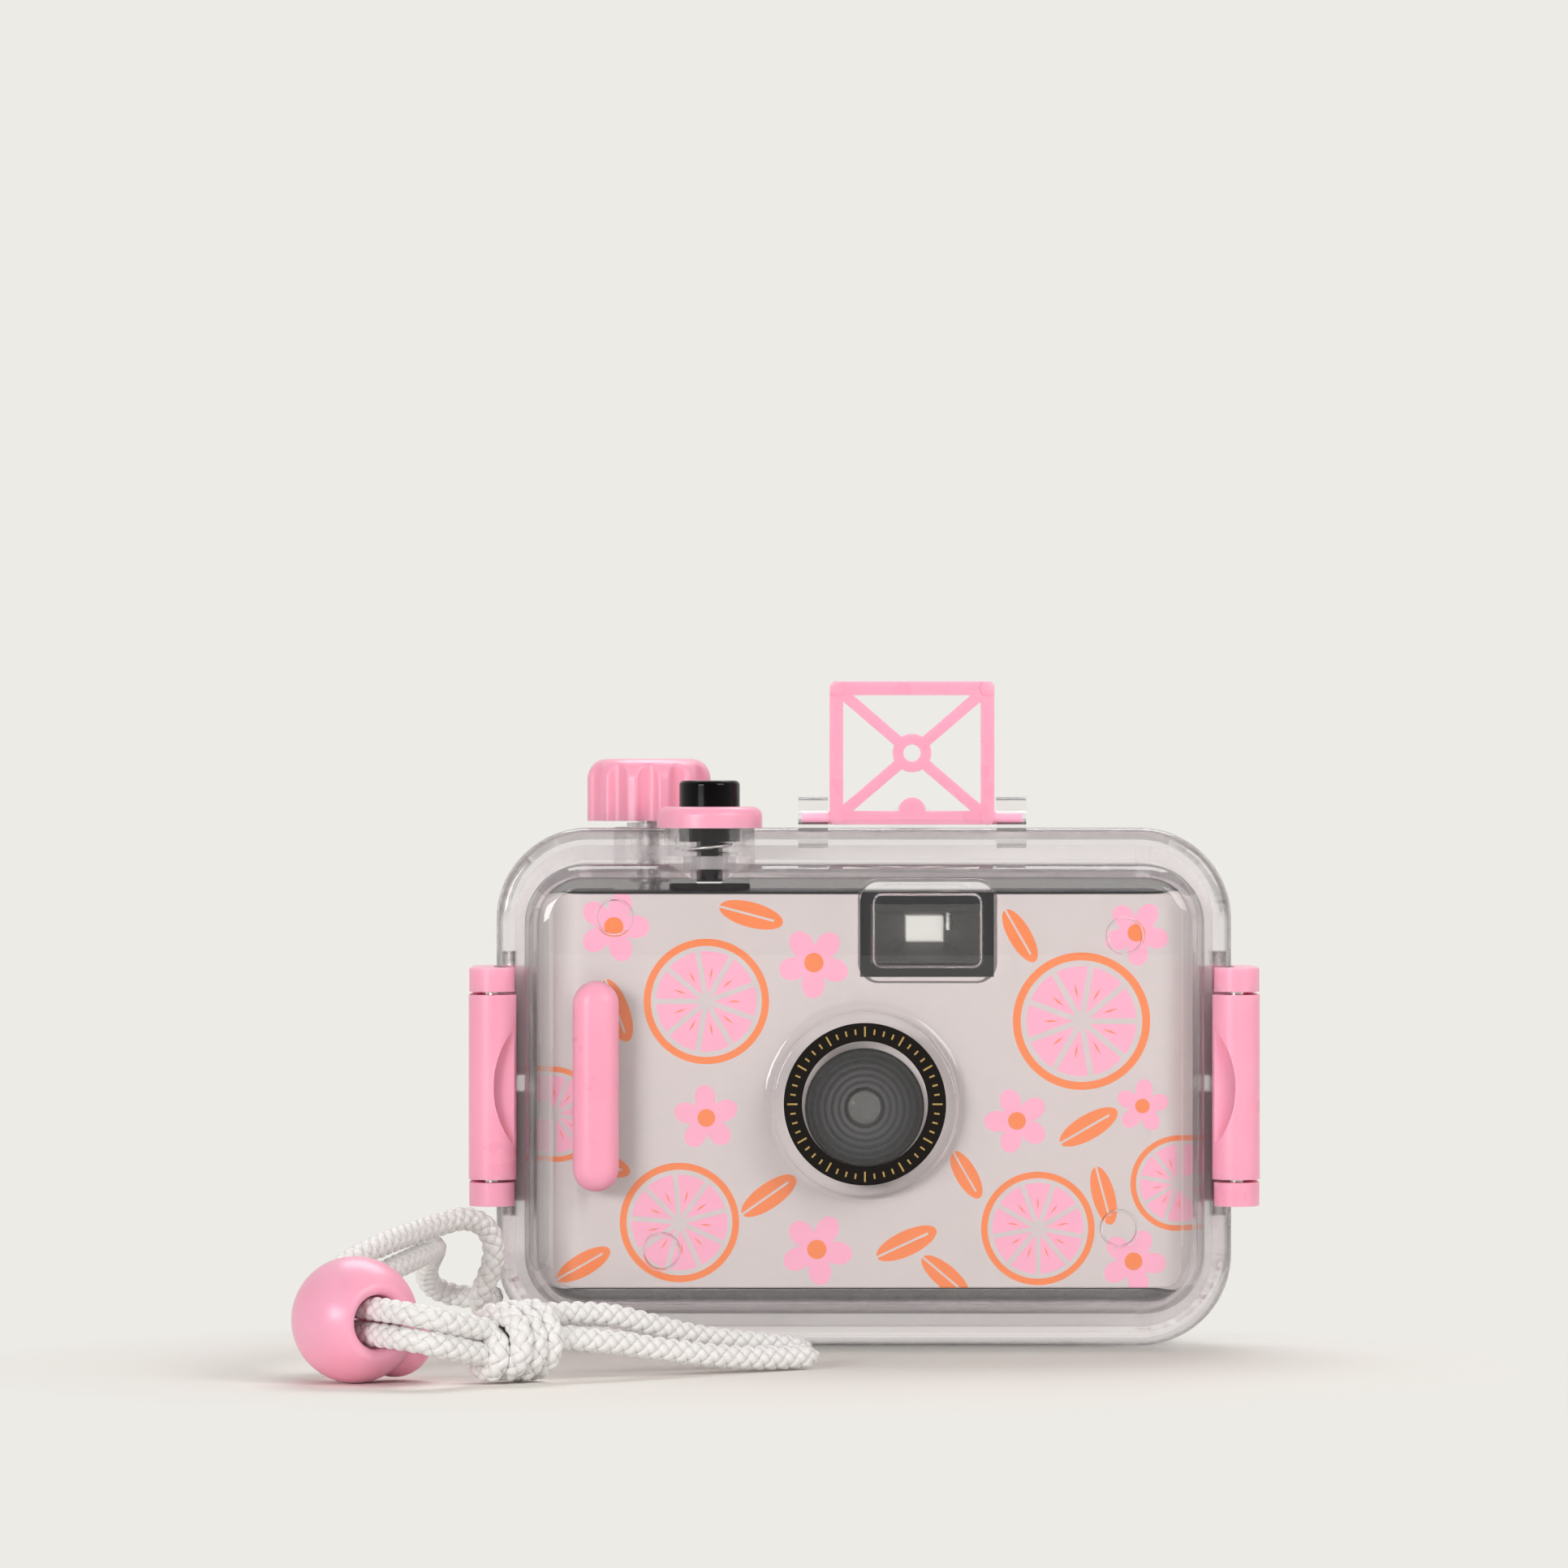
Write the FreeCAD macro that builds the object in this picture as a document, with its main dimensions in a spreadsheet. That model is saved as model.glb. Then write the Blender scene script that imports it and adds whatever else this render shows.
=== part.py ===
import FreeCAD, Part
import math
import os
from FreeCAD import Placement, Rotation, Vector
import Sketcher

# Underwater camera: a clear housing in two halves, two over-centre latches, a fold-down sports
# finder, a push button and a winding knob that work a simple 35 mm camera inside, and a wrist
# strap with a ball cord lock.
# Millimetres. X to the right, Y away from the viewer, Z up. The halves part at Y = 0.

doc = FreeCAD.newDocument("UnderwaterCamera")
sheet = doc.addObject("Spreadsheet::Sheet", "Sizes")


class Size:
    """A number together with the sheet expression that it comes from."""

    def __init__(self, value, text):
        self.value = value
        self.text = text

    def __add__(self, other):
        other = as_size(other)
        return Size(self.value + other.value, f"({self.text} + {other.text})")

    def __sub__(self, other):
        other = as_size(other)
        return Size(self.value - other.value, f"({self.text} - {other.text})")

    def __mul__(self, other):
        other = as_size(other)
        return Size(self.value * other.value, f"({self.text} * {other.text})")

    def __truediv__(self, other):
        other = as_size(other)
        return Size(self.value / other.value, f"({self.text} / {other.text})")

    def __radd__(self, other):
        return as_size(other) + self

    def __rsub__(self, other):
        return as_size(other) - self

    def __rmul__(self, other):
        return as_size(other) * self

    def __neg__(self):
        return Size(-self.value, f"(0 - {self.text})")


def as_size(number):
    return number if isinstance(number, Size) else Size(number, f"{number:.6f}")


def root(number):
    return Size(math.sqrt(number.value), f"sqrt({number.text})")


def size(name, value):
    """Write a driving size into the sheet under its own name."""
    size.row += 1
    cell = f"A{size.row}"
    sheet.set(cell, str(value))
    sheet.setAlias(cell, name)
    return Size(value, f"Sizes.{name}")


size.row = 0

# Housing
flange_rim_across = size("flange_rim_across", 5.1)
flange_rim_up = size("flange_rim_up", 6.05)
flange_corner = size("flange_corner", 15.5)
flange_depth = size("flange_depth", 6.0)
flange_round = size("flange_round", 2.0)
box_width = size("box_width", 114.0)
box_height = size("box_height", 75.4)
box_corner = size("box_corner", 10.0)
box_round = size("box_round", 5.0)
front_depth = size("front_depth", 19.5)
rear_depth = size("rear_depth", 22.5)
wall = size("wall", 2.5)
groove_inset = size("groove_inset", 3.0)
groove_width = size("groove_width", 2.4)
groove_depth = size("groove_depth", 2.6)
tongue_height = size("tongue_height", 1.4)
slip = size("slip", 0.2)

# Lens port and finder windows
lens_up = size("lens_up", 31.2)
port_radius = size("port_radius", 15.5)
port_rise = size("port_rise", 2.5)
port_bore = size("port_bore", 13.0)
port_foot = size("port_foot", 1.8)
pane_edge = size("pane_edge", 0.6)
port_ring_radius = size("port_ring_radius", 13.55)
port_ring_hole = size("port_ring_hole", 10.5)
port_ring_depth = size("port_ring_depth", 0.8)
window_glass = size("window_glass", 1.8)
finder_across = size("finder_across", 10.45)
finder_drop = size("finder_drop", 6.4)
window_width = size("window_width", 23.3)
window_height = size("window_height", 17.5)
window_corner = size("window_corner", 3.5)
eyepiece_width = size("eyepiece_width", 19.0)
eyepiece_height = size("eyepiece_height", 14.0)
eyepiece_rise = size("eyepiece_rise", 2.0)

# Grip bar
grip_inset = size("grip_inset", 12.1)
grip_up = size("grip_up", 0.7)
grip_width = size("grip_width", 7.7)
grip_length = size("grip_length", 35.1)
grip_depth = size("grip_depth", 3.9)
grip_rim_rise = size("grip_rim_rise", 1.1)
grip_rim_margin = size("grip_rim_margin", 1.0)

# Shutter push button
shutter_inset = size("shutter_inset", 31.0)
shutter_forward = size("shutter_forward", 11.8)
tower_radius = size("tower_radius", 7.6)
tower_rise = size("tower_rise", 0.4)
tower_bore = size("tower_bore", 5.6)
tower_floor = size("tower_floor", 3.85)
collar_radius = size("collar_radius", 8.85)
collar_height = size("collar_height", 3.6)
button_radius = size("button_radius", 5.1)
button_rise = size("button_rise", 8.0)
button_length = size("button_length", 10.3)
button_play = size("button_play", 0.3)
stem_radius = size("stem_radius", 2.2)
stem_gap = size("stem_gap", 0.3)
seal_radius = size("seal_radius", 3.0)
seal_height = size("seal_height", 2.2)
shaft_play = size("shaft_play", 0.05)
shutter_travel = size("shutter_travel", 1.8)
spring_radius = size("spring_radius", 3.65)
spring_wire = size("spring_wire", 0.6)
spring_turns = size("spring_turns", 6)

# Winding knob and gears
knob_inset = size("knob_inset", 20.4)
knob_back = size("knob_back", 13.0)
knob_radius = size("knob_radius", 10.75)
knob_rise = size("knob_rise", 1.1)
knob_height = size("knob_height", 10.6)
knob_flutes = size("knob_flutes", 12)
flute_radius = size("flute_radius", 2.2)
flute_edge = size("flute_edge", 0.7)
winder_tower_radius = size("winder_tower_radius", 6.0)
winder_tower_rise = size("winder_tower_rise", 0.1)
winding_shaft_radius = size("winding_shaft_radius", 2.0)
winding_seal_radius = size("winding_seal_radius", 3.8)
gear_module = size("gear_module", 0.8)
drive_teeth = size("drive_teeth", 12)
wheel_teeth = size("wheel_teeth", 18)
mesh_backlash = size("mesh_backlash", 0.12)
mesh_angle = size("mesh_angle", -110.0)
gear_height = size("gear_height", 2.4)
gear_drop = size("gear_drop", 4.2)

# Sports finder
sight_across = size("sight_across", 8.1)
sight_width = size("sight_width", 27.8)
sight_rise = size("sight_rise", 0.55)
sight_height = size("sight_height", 24.15)
sight_bar = size("sight_bar", 2.3)
sight_brace = size("sight_brace", 1.9)
sight_depth = size("sight_depth", 2.0)
sight_corner = size("sight_corner", 2.2)
sight_forward = size("sight_forward", 6.5)
hub_radius = size("hub_radius", 3.25)
hub_hole = size("hub_hole", 1.45)
sight_tab_radius = size("sight_tab_radius", 2.3)
axle_radius = size("axle_radius", 1.1)
axle_rise = size("axle_rise", 1.7)
axle_reach = size("axle_reach", 4.4)
lug_gap = size("lug_gap", 0.3)
lug_width = size("lug_width", 5.0)
lug_sink = size("lug_sink", 3.5)
lug_rise = size("lug_rise", 5.2)
lug_depth = size("lug_depth", 6.6)
stop_radius = size("stop_radius", 4.4)
stop_depth = size("stop_depth", 1.2)
stop_gap = size("stop_gap", 4.1)

# Latches
latch_up = size("latch_up", 0.25)
lever_height = size("lever_height", 31.0)
knuckle_height = size("knuckle_height", 4.0)
knuckle_gap = size("knuckle_gap", 0.5)
knuckle_radius = size("knuckle_radius", 3.7)
barrel_radius = size("barrel_radius", 4.0)
cam_reach = size("cam_reach", 5.4)
cam_radius = size("cam_radius", 2.2)
cam_angle = size("cam_angle", 70.0)
pivot_out = size("pivot_out", 0.4)
pivot_clear = size("pivot_clear", 5.3)
hinge_radius = size("hinge_radius", 2.6)
hinge_gap = size("hinge_gap", 0.4)
hinge_back = size("hinge_back", 10.0)
hinge_lug_height = size("hinge_lug_height", 2.2)
hinge_play = size("hinge_play", 0.3)
arm_gap = size("arm_gap", 0.5)
arm_depth = size("arm_depth", 3.8)
handle_depth = size("handle_depth", 1.9)
handle_length = size("handle_length", 14.0)
hinge_pin_radius = size("hinge_pin_radius", 1.0)
lever_pin_radius = size("lever_pin_radius", 1.2)
pin_play = size("pin_play", 0.06)
notch_height = size("notch_height", 20.5)
notch_width = size("notch_width", 3.7)
notch_depth = size("notch_depth", 2.4)

# Camera inside
camera_across = size("camera_across", 0.5)
camera_side_gap = size("camera_side_gap", 2.0)
camera_foot_gap = size("camera_foot_gap", 1.75)
camera_roof_gap = size("camera_roof_gap", 2.15)
camera_front_gap = size("camera_front_gap", 1.0)
camera_back_gap = size("camera_back_gap", 1.0)
cover_depth = size("cover_depth", 10.0)
door_depth = size("door_depth", 7.0)
cover_wall = size("cover_wall", 1.8)
cover_corner = size("cover_corner", 5.0)
case_corner = size("case_corner", 3.0)
card_thickness = size("card_thickness", 0.4)
card_margin = size("card_margin", 0.4)
top_thickness = size("top_thickness", 1.5)
barrel_lens_radius = size("barrel_lens_radius", 9.5)
barrel_gap = size("barrel_gap", 0.6)
barrel_drop = size("barrel_drop", 0.8)
lens_radius = size("lens_radius", 3.4)
gate_width = size("gate_width", 36.0)
gate_height = size("gate_height", 24.0)
spool_radius = size("spool_radius", 8.0)
spool_core = size("spool_core", 5.0)
spool_play = size("spool_play", 0.5)
cassette_inset = size("cassette_inset", 16.0)
cassette_back = size("cassette_back", 0.0)
cassette_radius = size("cassette_radius", 13.0)
sprocket_inward = size("sprocket_inward", 10.6)
sprocket_back = size("sprocket_back", 7.0)
sprocket_radius = size("sprocket_radius", 3.4)
counter_inward = size("counter_inward", 12.6)
counter_back = size("counter_back", 1.5)
counter_radius = size("counter_radius", 5.5)
rewind_radius = size("rewind_radius", 9.0)
rewind_rise = size("rewind_rise", 0.8)
plate_height = size("plate_height", 32.0)
plate_width = size("plate_width", 44.0)
screw_inset = size("screw_inset", 2.3)
card_finder_width = size("card_finder_width", 22.4)
card_finder_drop = size("card_finder_drop", 7.8)
finder_lens_width = size("finder_lens_width", 21.0)
finder_lens_height = size("finder_lens_height", 10.6)
finder_dish_radius = size("finder_dish_radius", 9.0)
finder_dish_depth = size("finder_dish_depth", 0.5)
blade_reach = size("blade_reach", 9.4)
blade_radius = size("blade_radius", 2.6)
camera_button_width = size("camera_button_width", 13.6)
camera_button_depth = size("camera_button_depth", 7.2)
camera_button_rise = size("camera_button_rise", 1.4)
camera_button_height = size("camera_button_height", 1.3)

# Strap
cord_diameter = size("cord_diameter", 3.8)
ball_radius = size("ball_radius", 10.05)
ball_hole = size("ball_hole", 4.3)
ball_rim = size("ball_rim", 1.2)
slot_length = size("slot_length", 9.2)
slot_shift = size("slot_shift", 0.8)
plunger_radius = size("plunger_radius", 6.2)
plunger_play = size("plunger_play", 0.08)
plunger_reach = size("plunger_reach", 7.9)
plunger_back = size("plunger_back", 5.0)
plunger_bore_end = size("plunger_bore_end", 6.7)
lock_spring_pocket = size("lock_spring_pocket", 3.9)
lock_spring_seat = size("lock_spring_seat", 8.2)
lock_spring_radius = size("lock_spring_radius", 3.4)
lock_spring_wire = size("lock_spring_wire", 0.5)
lock_spring_turns = size("lock_spring_turns", 2)
knot_length = size("knot_length", 15.6)
knot_radius = size("knot_radius", 6.5)
strap_hole = size("strap_hole", 2.2)
strap_hole_out = size("strap_hole_out", 0.9)
strap_hole_up = size("strap_hole_up", 8.0)
strap_lug_wall = size("strap_lug_wall", 1.2)
strap_lug_height = size("strap_lug_height", 8.2)
strap_lug_back = size("strap_lug_back", 1.5)
strap_lug_depth = size("strap_lug_depth", 3.0)

# Places that follow from the sizes
flange_width = box_width + flange_rim_across * 2
flange_height = box_height + flange_rim_up * 2
flange_middle = flange_height / 2
cavity_width = box_width - wall * 2
cavity_height = box_height - wall * 2
cavity_corner = box_corner - wall
cavity_top = flange_middle + cavity_height / 2
camera_width = cavity_width - camera_side_gap * 2
camera_height = cavity_height - camera_foot_gap - camera_roof_gap
camera_bottom = cavity_top - cavity_height + camera_foot_gap
camera_front = wall - front_depth + camera_front_gap
camera_back = rear_depth - wall - camera_back_gap
cover_back = camera_front + cover_depth
door_front = camera_back - door_depth
lens_height = camera_bottom + lens_up
port_face = front_depth + port_rise
barrel_front = port_ring_depth + window_glass + barrel_gap - port_face
link_height = lever_height + (knuckle_gap + knuckle_height) * 2
pivot_x = flange_width / 2 + pivot_out
pivot_y = -flange_depth - pivot_clear
hinge_x = box_width / 2 + hinge_radius + hinge_gap
hinge_y = hinge_back
arm_inner = flange_width / 2 + arm_gap
arm_outer = arm_inner + arm_depth
camera_top = camera_bottom + camera_height
camera_middle = camera_bottom + camera_height / 2
camera_button_top = camera_top + camera_button_rise
stem_end = camera_button_top + stem_gap
gear_bottom = camera_top - gear_drop
finder_height = camera_top - finder_drop
tower_top = flange_height + tower_rise
button_top = flange_height + button_rise
winder_tower_top = flange_height + winder_tower_rise
knob_bottom = flange_height + knob_rise
knob_top = knob_bottom + knob_height
sight_bottom = flange_height + sight_rise
sight_top = sight_bottom + sight_height
axle_height = flange_height + axle_rise
lug_foot = flange_height - lug_sink
lug_top = flange_height + lug_rise
grip_across = box_width / 2 - grip_inset
grip_height = flange_middle + grip_up
latch_height = flange_middle + latch_up
shutter_across = box_width / 2 - shutter_inset
knob_across = box_width / 2 - knob_inset
sprocket_across = knob_across - sprocket_inward
counter_across = knob_across - counter_inward
cassette_across = camera_width / 2 - cassette_inset
strap_hole_across = flange_width / 2 + strap_hole_out
axle_y = -sight_forward
gear_distance = gear_module * (drive_teeth + wheel_teeth) / 2
spool_x = -knob_across + gear_distance * math.cos(math.radians(mesh_angle.value))
spool_y = knob_back + gear_distance * math.sin(math.radians(mesh_angle.value))

PLANES = {"front": "XZ_Plane", "top": "XY_Plane", "side": "YZ_Plane"}
TOLERANCE = 1e-4
parts = {}


def bind(item, name, amount):
    """Set a property from the sheet."""
    item.setExpression(name, as_size(amount).text)


def keep(item, label):
    """Name a finished sub-part."""
    item.Label = label
    parts[label] = item


def body(name):
    made = doc.addObject("PartDesign::Body", name)
    doc.recompute()
    return made


def sketch(part, plane, offset, *outlines):
    """Sketch on an origin plane of the part. Front faces -Y, top faces +Z, side faces +X."""
    made = part.newObject("Sketcher::SketchObject", part.Name + "Sketch")
    support = next(f for f in part.Origin.OriginFeatures if f.Role == PLANES[plane])
    made.AttachmentSupport = [(support, "")]
    made.MapMode = "FlatFace"
    bind(made, "AttachmentOffset.Base.z", offset)
    for outline in outlines:
        outline(made)
    return made


def place_point(made, geometry, point, across, up):
    """Hold a point of a sketch at its distance from the origin."""
    for kind, amount in (("DistanceX", across), ("DistanceY", up)):
        index = made.addConstraint(
            Sketcher.Constraint(kind, -1, 1, geometry, point, as_size(amount).value))
        bind(made, f"Constraints[{index}]", amount)


def circle(across, up, radius):
    def draw(made):
        middle = Vector(as_size(across).value, as_size(up).value, 0)
        index = made.addGeometry(Part.Circle(middle, Vector(0, 0, 1), as_size(radius).value))
        place_point(made, index, 3, across, up)
        row = made.addConstraint(Sketcher.Constraint("Radius", index, as_size(radius).value))
        bind(made, f"Constraints[{row}]", radius)
    return draw


def polygon(*corners):
    """Closed outline of straight lines through corners given as (across, up)."""
    def draw(made):
        spots = [Vector(as_size(a).value, as_size(b).value, 0) for a, b in corners]
        first = made.GeometryCount
        for index, spot in enumerate(spots):
            made.addGeometry(Part.LineSegment(spot, spots[(index + 1) % len(spots)]))
        for index in range(len(spots)):
            following = first + (index + 1) % len(spots)
            made.addConstraint(Sketcher.Constraint("Coincident", first + index, 2, following, 1))
        for index, (across, up) in enumerate(corners):
            place_point(made, first + index, 1, across, up)
    return draw


def rectangle(left, right, low, high):
    return polygon((left, low), (right, low), (right, high), (left, high))


def rounded(across, up, width, height, radius):
    """Rectangle with round corners about a middle point."""
    def draw(made):
        left = as_size(across - width / 2)
        right = as_size(across + width / 2)
        low = as_size(up - height / 2)
        high = as_size(up + height / 2)
        r = as_size(radius).value
        x0, x1, y0, y1 = left.value, right.value, low.value, high.value
        first = made.GeometryCount
        lines = [((x0 + r, y0), (x1 - r, y0)), ((x1, y0 + r), (x1, y1 - r)),
                 ((x1 - r, y1), (x0 + r, y1)), ((x0, y1 - r), (x0, y0 + r))]
        middles = [(x1 - r, y0 + r), (x1 - r, y1 - r), (x0 + r, y1 - r), (x0 + r, y0 + r)]
        for index, (start, end) in enumerate(lines):
            made.addGeometry(Part.LineSegment(Vector(*start, 0), Vector(*end, 0)))
            ring = Part.Circle(Vector(*middles[index], 0), Vector(0, 0, 1), r)
            turn = math.radians(-90 + 90 * index)
            made.addGeometry(Part.ArcOfCircle(ring, turn, turn + math.pi / 2))
        for index in range(4):
            line = first + 2 * index
            following = first + (2 * index + 2) % 8
            made.addConstraint(Sketcher.Constraint("Tangent", line, 2, line + 1, 1))
            made.addConstraint(Sketcher.Constraint("Tangent", line + 1, 2, following, 1))
            side = "Horizontal" if index % 2 == 0 else "Vertical"
            made.addConstraint(Sketcher.Constraint(side, line))
            if index:
                made.addConstraint(Sketcher.Constraint("Equal", first + 1, line + 1))
        for kind, line, amount in (("DistanceY", 0, low), ("DistanceX", 2, right),
                                   ("DistanceY", 4, high), ("DistanceX", 6, left)):
            row = made.addConstraint(
                Sketcher.Constraint(kind, -1, 1, first + line, 1, amount.value))
            bind(made, f"Constraints[{row}]", amount)
        row = made.addConstraint(Sketcher.Constraint("Radius", first + 1, r))
        bind(made, f"Constraints[{row}]", radius)
    return draw


def upright_slot(across, up, width, height):
    """Slot with round ends, its long side upright."""
    def draw(made):
        r = (width / 2).value
        x = as_size(across).value
        low = as_size(up - height / 2 + width / 2)
        high = as_size(up + height / 2 - width / 2)
        first = made.GeometryCount
        y0, y1 = low.value, high.value
        made.addGeometry(Part.LineSegment(Vector(x + r, y0, 0), Vector(x + r, y1, 0)))
        top = Part.Circle(Vector(x, y1, 0), Vector(0, 0, 1), r)
        made.addGeometry(Part.ArcOfCircle(top, 0, math.pi))
        made.addGeometry(Part.LineSegment(Vector(x - r, y1, 0), Vector(x - r, y0, 0)))
        bottom = Part.Circle(Vector(x, y0, 0), Vector(0, 0, 1), r)
        made.addGeometry(Part.ArcOfCircle(bottom, math.pi, 2 * math.pi))
        for index in range(4):
            following = first + (index + 1) % 4
            made.addConstraint(Sketcher.Constraint("Tangent", first + index, 2, following, 1))
        place_point(made, first + 1, 3, across, high)
        place_point(made, first + 3, 3, across, low)
        row = made.addConstraint(Sketcher.Constraint("Radius", first + 1, r))
        bind(made, f"Constraints[{row}]", width / 2)
    return draw


def settle(part, feature):
    """Recompute and make a feature the part's tip."""
    part.Tip = feature
    doc.recompute()
    return feature


def pad(part, profile, length, reverse=False):
    """Add material towards the side that the sketch faces, or the other way."""
    made = part.newObject("PartDesign::Pad", part.Name + "Pad")
    made.Profile = profile
    made.Reversed = reverse
    bind(made, "Length", length)
    return settle(part, made)


def pocket(part, profile, length, reverse=False):
    """Cut away from the side that the sketch faces, or towards it."""
    before = part.Shape.Volume
    made = part.newObject("PartDesign::Pocket", part.Name + "Pocket")
    made.Profile = profile
    made.Reversed = reverse
    bind(made, "Length", length)
    settle(part, made)
    if part.Shape.Volume > before - TOLERANCE:
        raise RuntimeError(f"{part.Name}: a pocket cuts nothing")
    return made


def near(one, other):
    return abs(one - as_size(other).value) < 1e-3


def in_plane(axis, place):
    """Test for edges that lie wholly in the plane where an axis has one value."""
    def test(box):
        return near(getattr(box, axis + "Min"), place) and near(getattr(box, axis + "Max"), place)
    return test


def fillet(part, radius, test):
    """Round the edges of the part's tip whose bounding boxes pass the test."""
    base = part.Tip
    names = [f"Edge{index + 1}" for index, edge in enumerate(base.Shape.Edges)
             if test(edge.BoundBox)]
    made = part.newObject("PartDesign::Fillet", part.Name + "Fillet")
    made.Base = (base, names)
    bind(made, "Radius", radius)
    return settle(part, made)


def polar(part, feature, count, axis_role):
    """Repeat a feature round an origin axis of the part."""
    made = part.newObject("PartDesign::PolarPattern", part.Name + "Pattern")
    made.Originals = [feature]
    axis = next(f for f in part.Origin.OriginFeatures if f.Role == axis_role)
    made.Axis = (axis, [""])
    made.Angle = 360
    bind(made, "Occurrences", count)
    return settle(part, made)


def move_to(item, x, y, z):
    for name, amount in (("x", x), ("y", y), ("z", z)):
        bind(item, f"Placement.Base.{name}", amount)


def block(name, x0, x1, y0, y1, z0, z1):
    made = doc.addObject("Part::Box", name)
    bind(made, "Length", x1 - x0)
    bind(made, "Width", y1 - y0)
    bind(made, "Height", z1 - z0)
    move_to(made, x0, y0, z0)
    return made


TURNS = {"x": Rotation(Vector(0, 1, 0), 90), "y": Rotation(Vector(1, 0, 0), -90),
         "z": Rotation()}


def rod(name, axis, x, y, z, radius, length):
    """Cylinder that starts at a point and runs along an axis."""
    made = doc.addObject("Part::Cylinder", name)
    bind(made, "Radius", radius)
    bind(made, "Height", length)
    made.Placement = Placement(Vector(), TURNS[axis])
    move_to(made, x, y, z)
    return made


def join(name, *items):
    made = doc.addObject("Part::MultiFuse", name)
    made.Shapes = list(items)
    doc.recompute()
    return made


def cut(name, base, *tools):
    tool = tools[0] if len(tools) == 1 else join(name + "Tools", *tools)
    made = doc.addObject("Part::Cut", name)
    made.Base = base
    made.Tool = tool
    doc.recompute()
    return made


def feature(label, shape, place=None):
    """Finished sub-part whose shape is worked out in code."""
    made = doc.addObject("Part::Feature", label)
    made.Shape = shape
    if place is not None:
        made.Placement = place
    keep(made, label)
    return made


def washer(label, axis, x, y, z, outer, inner, length):
    """Flat ring, for seals and clips."""
    made = cut(label + "Cut", rod(label + "Disc", axis, x, y, z, outer, length),
               rod(label + "Hole", axis, x, y, z, inner, length))
    keep(made, label)
    return made


# Front shell: one clear moulding with flange, box, lens port, finder window, shutter tower, the
# sports finder's lugs and the strap lug.

def front_shell():
    part = body("FrontShell")
    pad(part, sketch(part, "front", 0,
                     rounded(as_size(0), flange_middle, flange_width, flange_height,
                             flange_corner)), flange_depth)
    fillet(part, flange_round, in_plane("Y", -flange_depth))
    pad(part, sketch(part, "front", 0,
                     rounded(as_size(0), flange_middle, box_width, box_height, box_corner)),
        front_depth)
    fillet(part, box_round, in_plane("Y", -front_depth))
    inner_face = front_depth - wall
    pad(part, sketch(part, "front", inner_face, circle(0, lens_height, port_radius)),
        port_rise + wall)
    fillet(part, port_foot, round_edge(front_depth, port_radius))
    fillet(part, pane_edge, round_edge(port_face, port_radius))
    pad(part, sketch(part, "front", inner_face,
                     rounded(finder_across, finder_height, window_width, window_height,
                             window_corner)), port_rise + wall)
    fillet(part, pane_edge, window_edge(port_face))
    pad(part, sketch(part, "front", inner_face,
                     upright_slot(-grip_across, grip_height, grip_width + grip_rim_margin * 2,
                                  grip_length + grip_rim_margin * 2)), wall + grip_rim_rise)
    pad(part, sketch(part, "top", cavity_top - wall,
                     circle(-shutter_across, -shutter_forward, tower_radius)),
        tower_top - cavity_top + wall)
    front_lugs(part)
    pockets_of_front(part)
    tongue = flange_width - groove_inset * 2 - slip * 2
    inside = tongue - (groove_width - slip * 2) * 2
    high = flange_height - groove_inset * 2 - slip * 2
    inside_high = high - (groove_width - slip * 2) * 2
    corner = flange_corner - groove_inset - slip
    inside_corner = corner - groove_width + slip * 2
    pad(part, sketch(part, "front", 0, rounded(as_size(0), flange_middle, tongue, high, corner),
                     rounded(as_size(0), flange_middle, inside, inside_high, inside_corner)),
        tongue_height, reverse=True)
    keep(part, "front_shell")


def round_edge(depth, radius):
    """Test for round edges of one radius in the front plane at a depth."""
    flat = in_plane("Y", -depth)
    return lambda box: flat(box) and near(box.XLength, radius * 2)


def window_edge(depth):
    """Test for the finder window's edges in the front plane at a depth."""
    flat = in_plane("Y", -depth)
    foot = (finder_height - window_height / 2).value - 1e-3
    half = (window_width / 2).value + 1e-3
    return lambda box: (flat(box) and box.ZMin > foot
                        and abs(box.Center.x - finder_across.value) < half)


def front_lugs(part):
    """Lugs and stop of the sports finder, strap lug, and small corner ribs."""
    left = sight_across - sight_width / 2 - lug_gap
    right = sight_across + sight_width / 2 + lug_gap
    for start, reverse in ((left, True), (right, False)):
        outline = rounded(axle_y, (lug_foot + lug_top) / 2, lug_depth, lug_top - lug_foot,
                          as_size(1.5))
        pad(part, sketch(part, "side", start, outline), lug_width, reverse)
    stop_face = sight_forward - stop_gap
    pad(part, sketch(part, "front", stop_face - stop_depth,
                     circle(sight_across, flange_height, stop_radius)), stop_depth)
    outer = strap_hole_across + strap_hole + strap_lug_wall
    inner = flange_width / 2 - 4.0
    pad(part, sketch(part, "front", strap_lug_back,
                     rounded(-(inner + outer) / 2, strap_hole_up + 0.3, outer - inner,
                             strap_lug_height, as_size(2.6))), strap_lug_depth)
    rib_in = box_width / 2 - box_corner
    for side, up in ((-1, 1), (1, 1), (1, -1), (-1, -1)):
        middle = flange_middle + (box_height / 2 + 1.2) * up
        pad(part, sketch(part, "front", flange_depth - 1.0,
                         rectangle(rib_in * side - 1.2, rib_in * side + 1.2,
                                   middle - 1.8, middle + 1.8)), as_size(4.5))


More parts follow.
